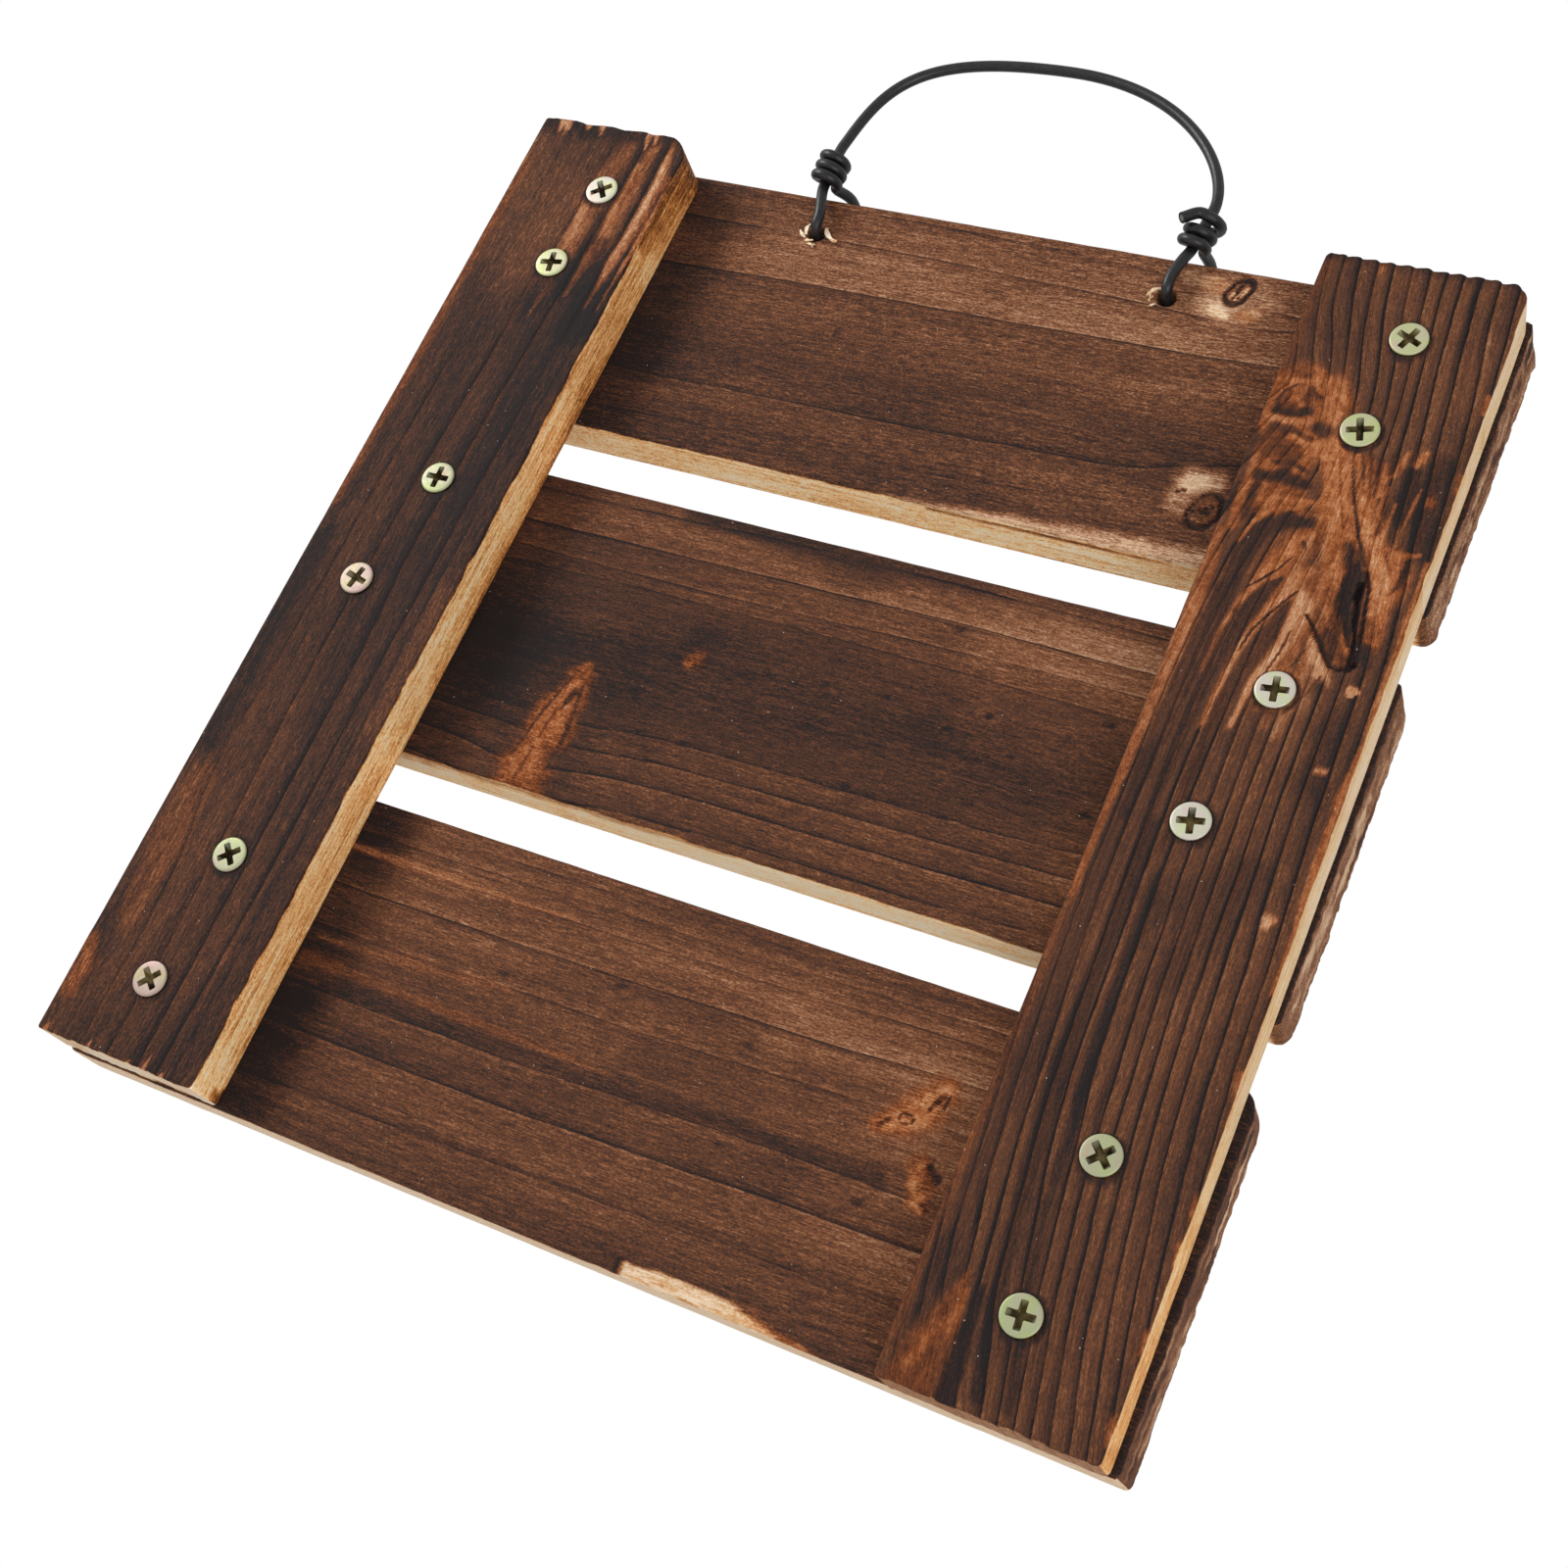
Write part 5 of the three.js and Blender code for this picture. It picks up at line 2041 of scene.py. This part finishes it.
# The branch beside the spike knot, with its swirl and dark bars
BRANCH = (
    figure(0.5, 1, (79, 92, 4.5), (84, 89, 8), (85, 79, 8.5), (84, 66, 8), (90, 63, 4), soft=0.8),
    figure(0.4, 1, (83.6, 96.2, 1.4), (88, 94, 2.2), (90.4, 90.6, 1.6), (91, 86.6, 1), soft=1.5,
           ragged=0.6),
    figure(0.64, 0.8, (77, 95.6, 1.6), (82.6, 95.4, 1.5), ragged=0.6, share=0.8),
    figure(0.42, 1, (79, 93.4, 0.6), (84, 93.6, 0.7), (87, 91.4, 0.7), ragged=0.7),
    figure(0.68, 0.85, (82.6, 88.8, 3.8), soft=0.9, ragged=0.9),
    figure(0.5, 1, (81.6, 89.6, 0.8), (83.4, 88, 0.7), ragged=0.9),
    figure(0.86, 0.3, (81.2, 92.6, 0.3), (79.3, 90.6, 0.4), (78.6, 88, 0.4), (79.2, 85.4, 0.4), soft=1.1,
           ragged=0.5),
    figure(0.9, 0.2, (79.4, 85.2, 0.8), (82, 85.4, 1), (85.8, 86.8, 0.8), soft=1.1, ragged=0.7,
           depth=0.1),
    figure(0.78, 0.5, (84.4, 91.8, 0.8), (86.8, 90.4, 0.5), soft=1.1, ragged=0.9),
    figure(0.4, 1, (79, 83.4, 0.8), (85, 84, 0.8), (91, 85, 0.5), ragged=0.6),
    figure(0.84, 0.1, (88.2, 83.2, 1.6), (90.4, 82.6, 1.4), soft=1.3, ragged=0.7),
    figure(0.76, 0.4, (80, 81.6, 0.7), (84, 81.2, 1), (88, 80, 0.8), ragged=0.8),
    figure(0.88, 0.3, (86.2, 78.2, 0.6), soft=1.2, ragged=0.6),
    figure(0.7, 0.7, (77.4, 77, 2), (83, 75.8, 2.4), (87.2, 75.6, 1.4), ragged=1),
    figure(0.38, 1, (84, 80, 0.6), (90, 78.6, 1.3), (93.6, 75.6, 1.6), soft=1.5, ragged=0.5),
    figure(0.86, 0.4, (92, 75, 0.5), soft=1.2, ragged=0.6),
    figure(0.82, 0.4, (82.5, 73.4, 0.5), (86.4, 73.9, 0.6), (90.2, 72.4, 0.6), soft=1.3, ragged=0.6),
    figure(0.92, 0.2, (80.6, 69.8, 1.5), (86, 70.2, 2), (91, 69.8, 1.5), soft=1.1, ragged=0.5),
    figure(0.58, 0.95, (83, 66.6, 1.3), (91.4, 66.8, 1.5), ragged=1),
    figure(0.42, 1, (84, 64.6, 0.8), (90, 65, 1.2), (94, 66, 1.2), ragged=0.5),
    figure(0.82, 0.3, (81.2, 67, 1), (80.9, 60, 1.5), ragged=0.7, share=0.9),
    figure(0.86, 0.2, (76.4, 78, 1.3), (77, 69, 1.5), (76.6, 61, 1.2), ragged=0.8, share=0.9),
    figure(0.46, 0.9, (78.9, 74, 0.5), (78.7, 66, 0.8), (79.2, 57, 0.8), ragged=0.7),
)

# The grain that fans out to the left below the branch
FAN = (
    figure(0.46, 0.75, (95, 60, 4), (92, 50, 6), (96, 41, 7), (101, 34, 6), (100, 24, 5), soft=1.2,
           ragged=0.2),
    figure(0.48, 0.7, (77.2, 55, 1.4), (78, 44, 2), (78.2, 34, 1.8), (77.8, 22, 1.4), (77.4, 0, 1),
           (77.2, -30, 0.8), soft=1.5),
    figure(0.84, 0.1, (94, 61.2, 1.6), (89, 60.6, 2.4), (85.4, 57, 2.5), (83.8, 50, 2.3), (83.2, 42, 2.2),
           (82.6, 32, 2.1), (81.8, 20, 1.9), (81.4, 4, 1.6), (81, -10, 1), soft=0.8),
    figure(0.4, 1, (81.8, 54, 0.4), (83.2, 59, 0.5), (86.4, 62.8, 0.6), (91, 64.2, 0.5)),
    figure(0.33, 0.85, (95.6, 59.6, 0.9), (92.8, 56.4, 1.7), (91.2, 51.8, 2), (89, 47.4, 1.3),
           (87, 41, 0.9), (85.8, 34, 0.8), (85, 24, 0.5), soft=1.3),
    figure(0.8, 0.15, (93, 47.6, 0.4), (91, 45, 1.4), (89.2, 40, 1.9), (88, 34, 1.9), (87, 28, 1.7),
           (86.2, 20, 1.4), (85.6, 4, 1.1), (85.4, -12, 0.7), soft=0.9),
    figure(0.32, 0.75, (97.6, 51, 1.2), (95.8, 47, 1.7), (93.6, 42.4, 1.1), (91.6, 37, 0.9),
           (90.2, 31, 0.8), (89.2, 24, 0.7), (88.6, 12, 0.5)),
    figure(0.78, 0.2, (96, 43, 0.3), (95.2, 40, 1.1), (94.2, 35, 1.7), (93, 30, 1.6), (91.8, 24, 1.5),
           (90.8, 16, 1.3), (90.2, 2, 1.1), (90, -14, 0.7), soft=1),
    figure(0.2, 0.5, (98.4, 45, 1.7), (99.2, 40.6, 2), (98.6, 35, 1.4), (97.2, 30, 1.1), (95, 24.6, 0.8),
           (94, 14, 0.6), soft=1.3),
    figure(0.52, 0.4, (101.4, 36, 0.8), (101.6, 32, 1.1), (100.8, 27, 1.1), (100.2, 16, 1)),
    figure(0.2, 0.4, (103.2, 35.8, 1), (104.2, 32.4, 1.7), (106.6, 29.6, 1.7), (108.6, 27.2, 1)),
    figure(0.4, 0.3, (104.6, 30, 0.9), (103.4, 24, 0.9), (102.6, 14, 0.7), soft=1.5),
    figure(0.82, 0, (108, 26, 2), (111.5, 20, 3), (112, 6, 3), soft=1.3, late=0.8, share=0.8),
    figure(0.9, 0.2, (93.2, 52.6, 0.14), (91.4, 49.4, 0.22), (89, 46.4, 0.25), (86.8, 44, 0.18), soft=0.9,
           depth=0.12),
    figure(0.92, 0.2, (96.6, 45.4, 0.22), (93.6, 40.4, 0.25), (91, 35, 0.22), (90, 30, 0.15), soft=0.9,
           depth=0.12),
    figure(0.8, 0.2, (98.4, 37, 0.12), (97.8, 32, 0.2), (96.4, 26, 0.16), soft=0.9, depth=0.08),
    figure(0.84, 0.2, (102.2, 33.6, 0.2), (101, 29.4, 0.2), soft=0.9, depth=0.08),
    figure(0.84, 0.2, (107, 28.8, 0.2), (104.6, 22, 0.2), soft=0.9, depth=0.08),
    figure(0.84, 0.3, (94.2, 56.6, 0.6), (95.8, 54.8, 0.4), soft=1.3, ragged=0.9),
)

# The orange rays on the right of the spike, with dark gaps between them
ORANGE_RAYS = (((98.4, 79, 0.3), (101, 71, 0.5)), ((100.2, 79, 0.3), (102.4, 71, 0.5)),
               ((102, 78.4, 0.3), (103.6, 70.5, 0.6)),
               ((104.3, 77.6, 0.5), (104.9, 75.6, 0.8), (105, 70, 0.4)),
               ((107.8, 82, 0.5), (107.2, 79, 1.1), (106.5, 75.6, 0.5)),
               ((111.3, 82.2, 0.6), (110.6, 80.8, 1), (109.7, 78.6, 0.4)),
               ((106.4, 73, 0.25), (106.2, 68, 0.5), (106.4, 61, 0.7)),
               ((108.8, 69.6, 0.3), (108.9, 65, 0.5), (108.5, 60.5, 0.9)),
               ((112.6, 74, 0.2), (112.2, 69, 0.3), (111.4, 62, 0.4)),
               ((116.6, 59.4, 0.4), (114.4, 58.6, 0.6), (112, 57.4, 0.9)))
DARK_GAPS = (((99.3, 79.4, 0.25), (101.6, 72, 0.2)), ((101, 79.8, 0.25), (103, 71.5, 0.2)),
             ((103.1, 79, 0.4), (104.2, 70, 0.2)), ((105.7, 80, 0.8), (105.6, 76, 0.3)),
             ((109.2, 82, 0.4), (108.7, 79.6, 0.4)), ((105.4, 70, 0.2), (105.6, 64, 0.2)),
             ((107.4, 72.5, 0.45), (107.5, 62, 0.3)), ((110, 66, 0.5), (110, 60.5, 0.35)),
             ((112.7, 64, 0.5), (112.4, 60, 0.3)), ((115.2, 57, 0.5), (114.8, 52, 0.5), (113.4, 49, 0.3)),
             ((110.6, 57.6, 0.2), (113, 53, 0.2)))
RAYS = (
    figure(0.42, 0.9, (101.6, 72, 2.2), (103.6, 67, 3), (106.4, 62, 3.4), (110.4, 56, 4.4),
           (112, 49, 4), (113, 43, 3), (113.6, 38, 2), soft=1.1, ragged=0.5),
    figure(0.62, 0.85, (99.4, 77.4, 2), (103.4, 75.6, 1.8), ragged=0.5),
    figure(0.93, 0.1, (109.6, 77, 1.8), (110.4, 71, 2.5), (110.6, 65.5, 1.9), soft=1.1, ragged=0.5,
           late=0.5),
    figure(0.92, 0.1, (115, 80, 2.4), (115, 68, 3.2), (117, 60, 1.8), soft=1.1, ragged=0.4, late=0.7,
           share=0.85),
    *(figure(0.4, 1, *line, soft=1.5, ragged=0.8, share=0.85) for line in ORANGE_RAYS),
    *(figure(0.8, 0.5, *line, ragged=0.8, share=0.85) for line in DARK_GAPS),
    figure(0.29, 0.95, (102.4, 69.4, 0.8), (104, 65, 1.3), (106, 60.5, 1.3), (108.4, 56.6, 1.5)),
    figure(0.26, 0.8, (109.8, 55.6, 1.3), (111.6, 52.6, 1.7), (112, 48.6, 1.5), (111.6, 45, 0.9)),
    figure(0.58, 1, (115.4, 71.4, 1.2), ragged=0.5),
    figure(0.54, 0.7, (112, 41, 1.2), (114, 40.6, 1), ragged=0.6),
    figure(0.88, 0.1, (113.6, 36.4, 1), (114.8, 33.4, 0.8), ragged=0.7, share=0.8),
)

# The spike knot with its dark hollow and the crack round its tip
SPIKE = (
    figure(0.4, 1, (92.8, 80, 2.2), (95, 75, 3.4), (97.8, 67.4, 3.8), (100.8, 58.6, 4.2),
           (103.8, 49.6, 4.4), (107, 40, 3.4), (109.4, 34, 2), soft=0.8, ragged=0.2, late=0),
    figure(0.32, 0.95, (94, 77, 1.2), (97, 70, 1.6), (99.8, 62.6, 1.4), soft=1.5, ragged=0.5),
    figure(0.58, 0.95, (96.2, 61, 1.2), (97.6, 54, 2), (98.4, 47, 1.6), ragged=1, share=0.8),
    figure(0.36, 0.95, (100.8, 57, 0.6), (102.4, 51, 0.8), (103.4, 45.6, 0.7), soft=1.5, ragged=0.5),
    figure(0.92, 0.3, (98.2, 76, 0.15), (100.2, 70, 0.25), (104.2, 60.6, 0.3), (107.2, 54.6, 0.4), soft=1,
           depth=0.15),
    figure(0.62, 1, (94.6, 79, 0.18), (97, 71.5, 0.2), (100.6, 62, 0.22), soft=1.3),
    figure(0.76, 0.4, (102.8, 58, 1.4), (104.4, 55.4, 2.3), (106, 53, 1.8), ragged=0.8),
    figure(0.58, 0.8, (103.4, 47, 2), (105.6, 40.4, 2.2), (108.4, 34.2, 1.6), soft=1, ragged=0.5,
           depth=-0.3),
    figure(0.42, 0.8, (102.8, 45, 0.4), (105.2, 38.6, 0.4), (107.8, 33.4, 0.3), ragged=0.5),
    figure(0.75, 0.55, (105.6, 38, 1.6), (108.2, 34.4, 2.2), (109.8, 33.4, 1.6), soft=1, ragged=0.5),
    # Char darkened with painted shade in the spike's hollow, which is also sunk into the face
    figure(0.93, 0.15, (105.8, 53.4, 1.2), (106.6, 50.6, 2.5), (106.6, 47.4, 2.8), (107.2, 44, 2.2),
           (108.6, 40.4, 1.3), (109.8, 36.6, 0.8), soft=0.9, ragged=0.45, depth=0.35),
    # The hole in the hollow, painted black as shade and sunk deeper
    figure(1, 0, (108, 50.2, 0.6), (108.1, 47.4, 0.75), soft=0.5, ragged=0.2, depth=1.4),
    figure(0.62, 0.5, (109.6, 49.2, 0.5), (110.4, 44, 0.5), (110.9, 39, 0.4), (111.6, 35.6, 0.3), soft=1,
           ragged=0.5, depth=-0.35),
    figure(0.99, 0, (108.4, 46.6, 0.5), (109.6, 42, 0.55), (110.6, 37.6, 0.6), (111.2, 33.4, 0.6),
           soft=0.7, ragged=0.5, depth=0.9),
    figure(0.96, 0.1, (108.4, 53.2, 0.2), (109.8, 49.6, 0.3), (110.5, 45, 0.3), (111.3, 40, 0.35),
           (111.9, 36, 0.4), (112.2, 33, 0.45), soft=0.8, ragged=0.5, depth=0.5),
    figure(0.95, 0.2, (100, 41.2, 0.25), (102.4, 38.6, 0.45), (104.4, 36, 0.65), (106.4, 33.2, 0.6),
           (107.8, 31.5, 0.5), (109.6, 31.1, 0.45), (111.4, 31.8, 0.5), (112.1, 33, 0.5), soft=0.8,
           ragged=0.5, depth=0.6),
    figure(0.9, 0.3, (101.8, 38.2, 0.15), (103.6, 36, 0.2), soft=0.9, ragged=0.6, depth=0.2),
    figure(0.74, 0.8, (107.6, 33.4, 0.8), (110, 33.2, 0.8), ragged=0.7),
)

# The right batten, with a spike knot across its upper half
RIGHT_AXIS = ((91, 80), (88, 82), (85, 84), (76, 90.5), (64, 96), (52, 101.5), (40, 106))
RIGHT_MARKS = (
    char(0.72, (79, -90, 3.4), (80.5, -30, 3.2), (79, 20, 2.2), soft=1.3, ragged=0.2, late=0.3),
    shade(0.03, (78, 124, 3), (80, 110, 5), (84, 101, 5), soft=1.4, ragged=0.3, late=0.5),
    char(0.86, (86.6, -10, 1.3), (87, -60, 1.5), (89, -80, 1.4), (92, -104, 1.2), (95, -122, 1.4), soft=1.2,
         ragged=0.12, share=0.9),
    char(0.9, (91.5, -20, 1.1), (92, -50, 1.3), (94.5, -90, 1), (101, -122, 0.8), soft=1.2, ragged=0.12,
         share=0.8),
    char(0.84, (80, -100, 3.6), (80, -114, 4.6), soft=1.3, ragged=0.2, late=0.2, share=0.7),
    stain(0.64, 0.75, (85.6, -103, 0.6), (84.6, -110, 2.6), (83.4, -118, 4.4), (82, -127, 5.4), soft=0.9,
          ragged=0.25, late=0),
    stain(0.5, 0.85, (86.4, -105, 0.5), (86.2, -111, 0.9), (83, -116, 1.4), (81.6, -121, 1), soft=1.5),
    char(0.95, (89, -104, 0.8), (89.6, -114, 1.5), (90.2, -126, 1.7), soft=0.9, ragged=0.15, late=0.1),
    shade(0.1, (94, -27, 4), (107, -15, 4), (101, -37, 4), ragged=0.3),
    shade(-0.09, (116, 110, 3), (116, 94, 3), ragged=0.3),
    *BRANCH,
    *FAN,
    *RAYS,
    *SPIKE,
    shade(-0.1, (80, 38, 3), (80, 8, 3), ragged=0.3),
    shade(-0.13, (100, 24, 3), (109, 23, 3), ragged=0.3),
    shade(-0.1, (103, 20, 3.5), (106, 12, 3), ragged=0.3),
    shade(0.08, (97, -36, 4), (97, -48, 4), ragged=0.3),
    shade(-0.08, (94, 84, 3), (102, 84, 3), ragged=0.3),
    *(stain(0.2, 0.5, (x, z, 1.2), (x + 0.9, z + 0.2, 0.9), soft=0.4, late=0, depth=0.3)
      for x, z in ((113.6, 27.2), (112.9, 9.4), (114.1, -22.6))),
    stain(0.86, 0.3, (117.2, 38.4, 1.1), soft=0.7, ragged=0.4, depth=0.15),
    stain(0.44, 0.9, (117.1, 38.3, 0.6), soft=0.9, depth=0.1),
    stain(0.45, 0.9, (89, 126, 0.7), (89, 124, 0.5), soft=1.2),
    stain(0.62, 0.4, (77, 124, 1.4), (77, 97, 1.3), soft=1.5, ragged=0.2, late=0.2),
    stain(0.62, 0.4, (77, -30, 1.2), (77, -120, 1.2), soft=1.5, ragged=0.2, late=0.2),
    stain(0.4, 0.9, (118.6, 58, 0.4), (119, 24, 0.9), (118.8, -10, 1.2), (119, -36, 0.4), soft=0.9,
          ragged=0.6, late=0),
    *(stain(0.46, 0.9, (118.9, z, 0.8), (119.1, z - 4, 0.5), soft=1, ragged=0.7, late=0, depth=0.2)
      for z in (98, 79, -52, -76, -84, -101, -117)),
    char(0.9, (76, 126.6, 1.2), (120, 126.6, 1.2), ragged=0.3, share=0.7),
    # Painted shadows round the screw heads
    *head_shadows("right"),
)
RIGHT_OUTER = (
    *(char(0.5, (start, -18, 9), (-134, -18, 9), soft=1.9, ragged=0.2, raw=1, share=0.3)
      for start in (-72, -86, -100, -114)),
    shade(0.14, (80, -22, 1.2), (0, -22, 1), (-60, -22, 1.2), soft=1.5, ragged=0.6),
)
RIGHT_TONE = ((76, 0.64), (82, 0.66), (90, 0.66), (98, 0.64), (106, 0.65), (114, 0.68), (120, 0.74))
RIGHT_SIDES = {
    Side.LEFT: (0.6, 0), Side.RIGHT: (0.14, 0.6), Side.FOOT: (0.34, 0.1),
    Side.TOP: (0.8, 0), Side.BACK: (0.45, 1),
}
RIGHT_DRIFT = ((-126, 10.5), (-100, 5.5), (-70, 2), (-30, 0), (10, -0.6), (60, 0), (90, 0.5), (128, 0))
RIGHT_RINGS = KnotRings(spacing=3.45, start=77.6, axis=RIGHT_AXIS, drift=RIGHT_DRIFT,
                        pushes=((82, 90, 17, 21, 6.5),))
RIGHT_BATTEN = Plank(
    "right_batten", "batten_wood", Grain.ALONG_Z, RIGHT_RINGS, RIGHT_TONE, RIGHT_MARKS, RIGHT_SIDES,
    screw_bores("right"),
    # The broad, strong line tails are dark late wood plus painted shade in the brushed grooves; the light
    # band beside each line is a painted highlight
    CharredWood(25, core_dark=0.3, tail_dark=0.4, line_tail=2.4, ridge_highlight=0.13, grit=1.1),
    corners=(1.8, 4.5, 0.9, 1.2), arris=0.6, cells=(120, 310, 9), dense=(20, 102, 190), scallop=0.5,
    ridge=0.55, tear=0.3, scorch=0.08, side_marks={Side.RIGHT: RIGHT_OUTER}, seed=25)

LEFT_SPLINTERS = Splinters("left_hole_splinters", (
    Flake(-47, 115.2, 110, -60, 2.8, 1, 0.8, 0.3), Flake(-46.9, 114.4, 170, -60, 2.2, 0.8, 0.7, 0.3),
    Flake(-46.6, 113.7, -30, 60, 2.4, 0.8, 0.6, 0.2), Flake(-45.6, 113, -50, 60, 2, 0.8, 0.6, 0.2),
    Flake(-42.6, 118, -72, 64, 6.2, 1.1, 0.9, 0.4), Flake(-41.9, 116.2, -50, 35, 4, 0.7, 0.6, 0.2),
    Flake(-43.7, 112.9, -120, 70, 1.4, 0.5, 0.5),
))
RIGHT_SPLINTERS = Splinters("right_hole_splinters", (
    Flake(40.9, 117.9, 200, 95, 3.8, 0.9, 0.8, 0.3), Flake(40.4, 116.9, 190, 80, 2.8, 0.8, 0.6, 0.2),
    Flake(40, 115.6, 230, 60, 2, 0.5, 0.5), Flake(40.9, 113.7, 250, -50, 1.6, 0.5, 0.4),
))
LEFT_END = WireEnd(
    hole=-44.4, foot_lean=-2.7, foot_rise=1, top_lean=-4.2, top_rise=13.9, return_lean=0.9, return_rise=5,
    wrap_rise=2.4, pitch=3.25, tilt=0.9, turns=2.8, eye_growth=0, eye_rise=0, tail=(0, 0, 0),
    shoulder_rise=19.4, shoulder_reach=41.3, shoulder_bow=2.9)
RIGHT_END = WireEnd(
    hole=43, foot_lean=1.7, foot_rise=1, top_lean=2.3, top_rise=14.6, return_lean=4.3, return_rise=4.3,
    wrap_rise=1.9, pitch=3.4, tilt=1.4, turns=2.4, eye_growth=1.5, eye_rise=0.3, tail=(-3, -1.4, -3.2),
    shoulder_rise=11, shoulder_reach=30.8, shoulder_bow=0.1)


def main() -> None:
    """Builds the pieces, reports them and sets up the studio."""
    logging.basicConfig(level=logging.INFO, format="%(message)s")
    wood = (TOP_SLAT, MIDDLE_SLAT, BOTTOM_SLAT, LEFT_BATTEN, RIGHT_BATTEN, LEFT_SPLINTERS, RIGHT_SPLINTERS)
    pieces = [part.build() for part in wood]
    pieces += [*Screws(SCREWS).build(), *Hanger(LEFT_END, RIGHT_END).build()]
    for piece in pieces:
        LOG.info("%s: %d faces", piece.name, len(piece.data.polygons))
    Studio().build()
    bpy.context.scene.view_settings.view_transform = "Standard"


if __name__ == "__main__":
    main()
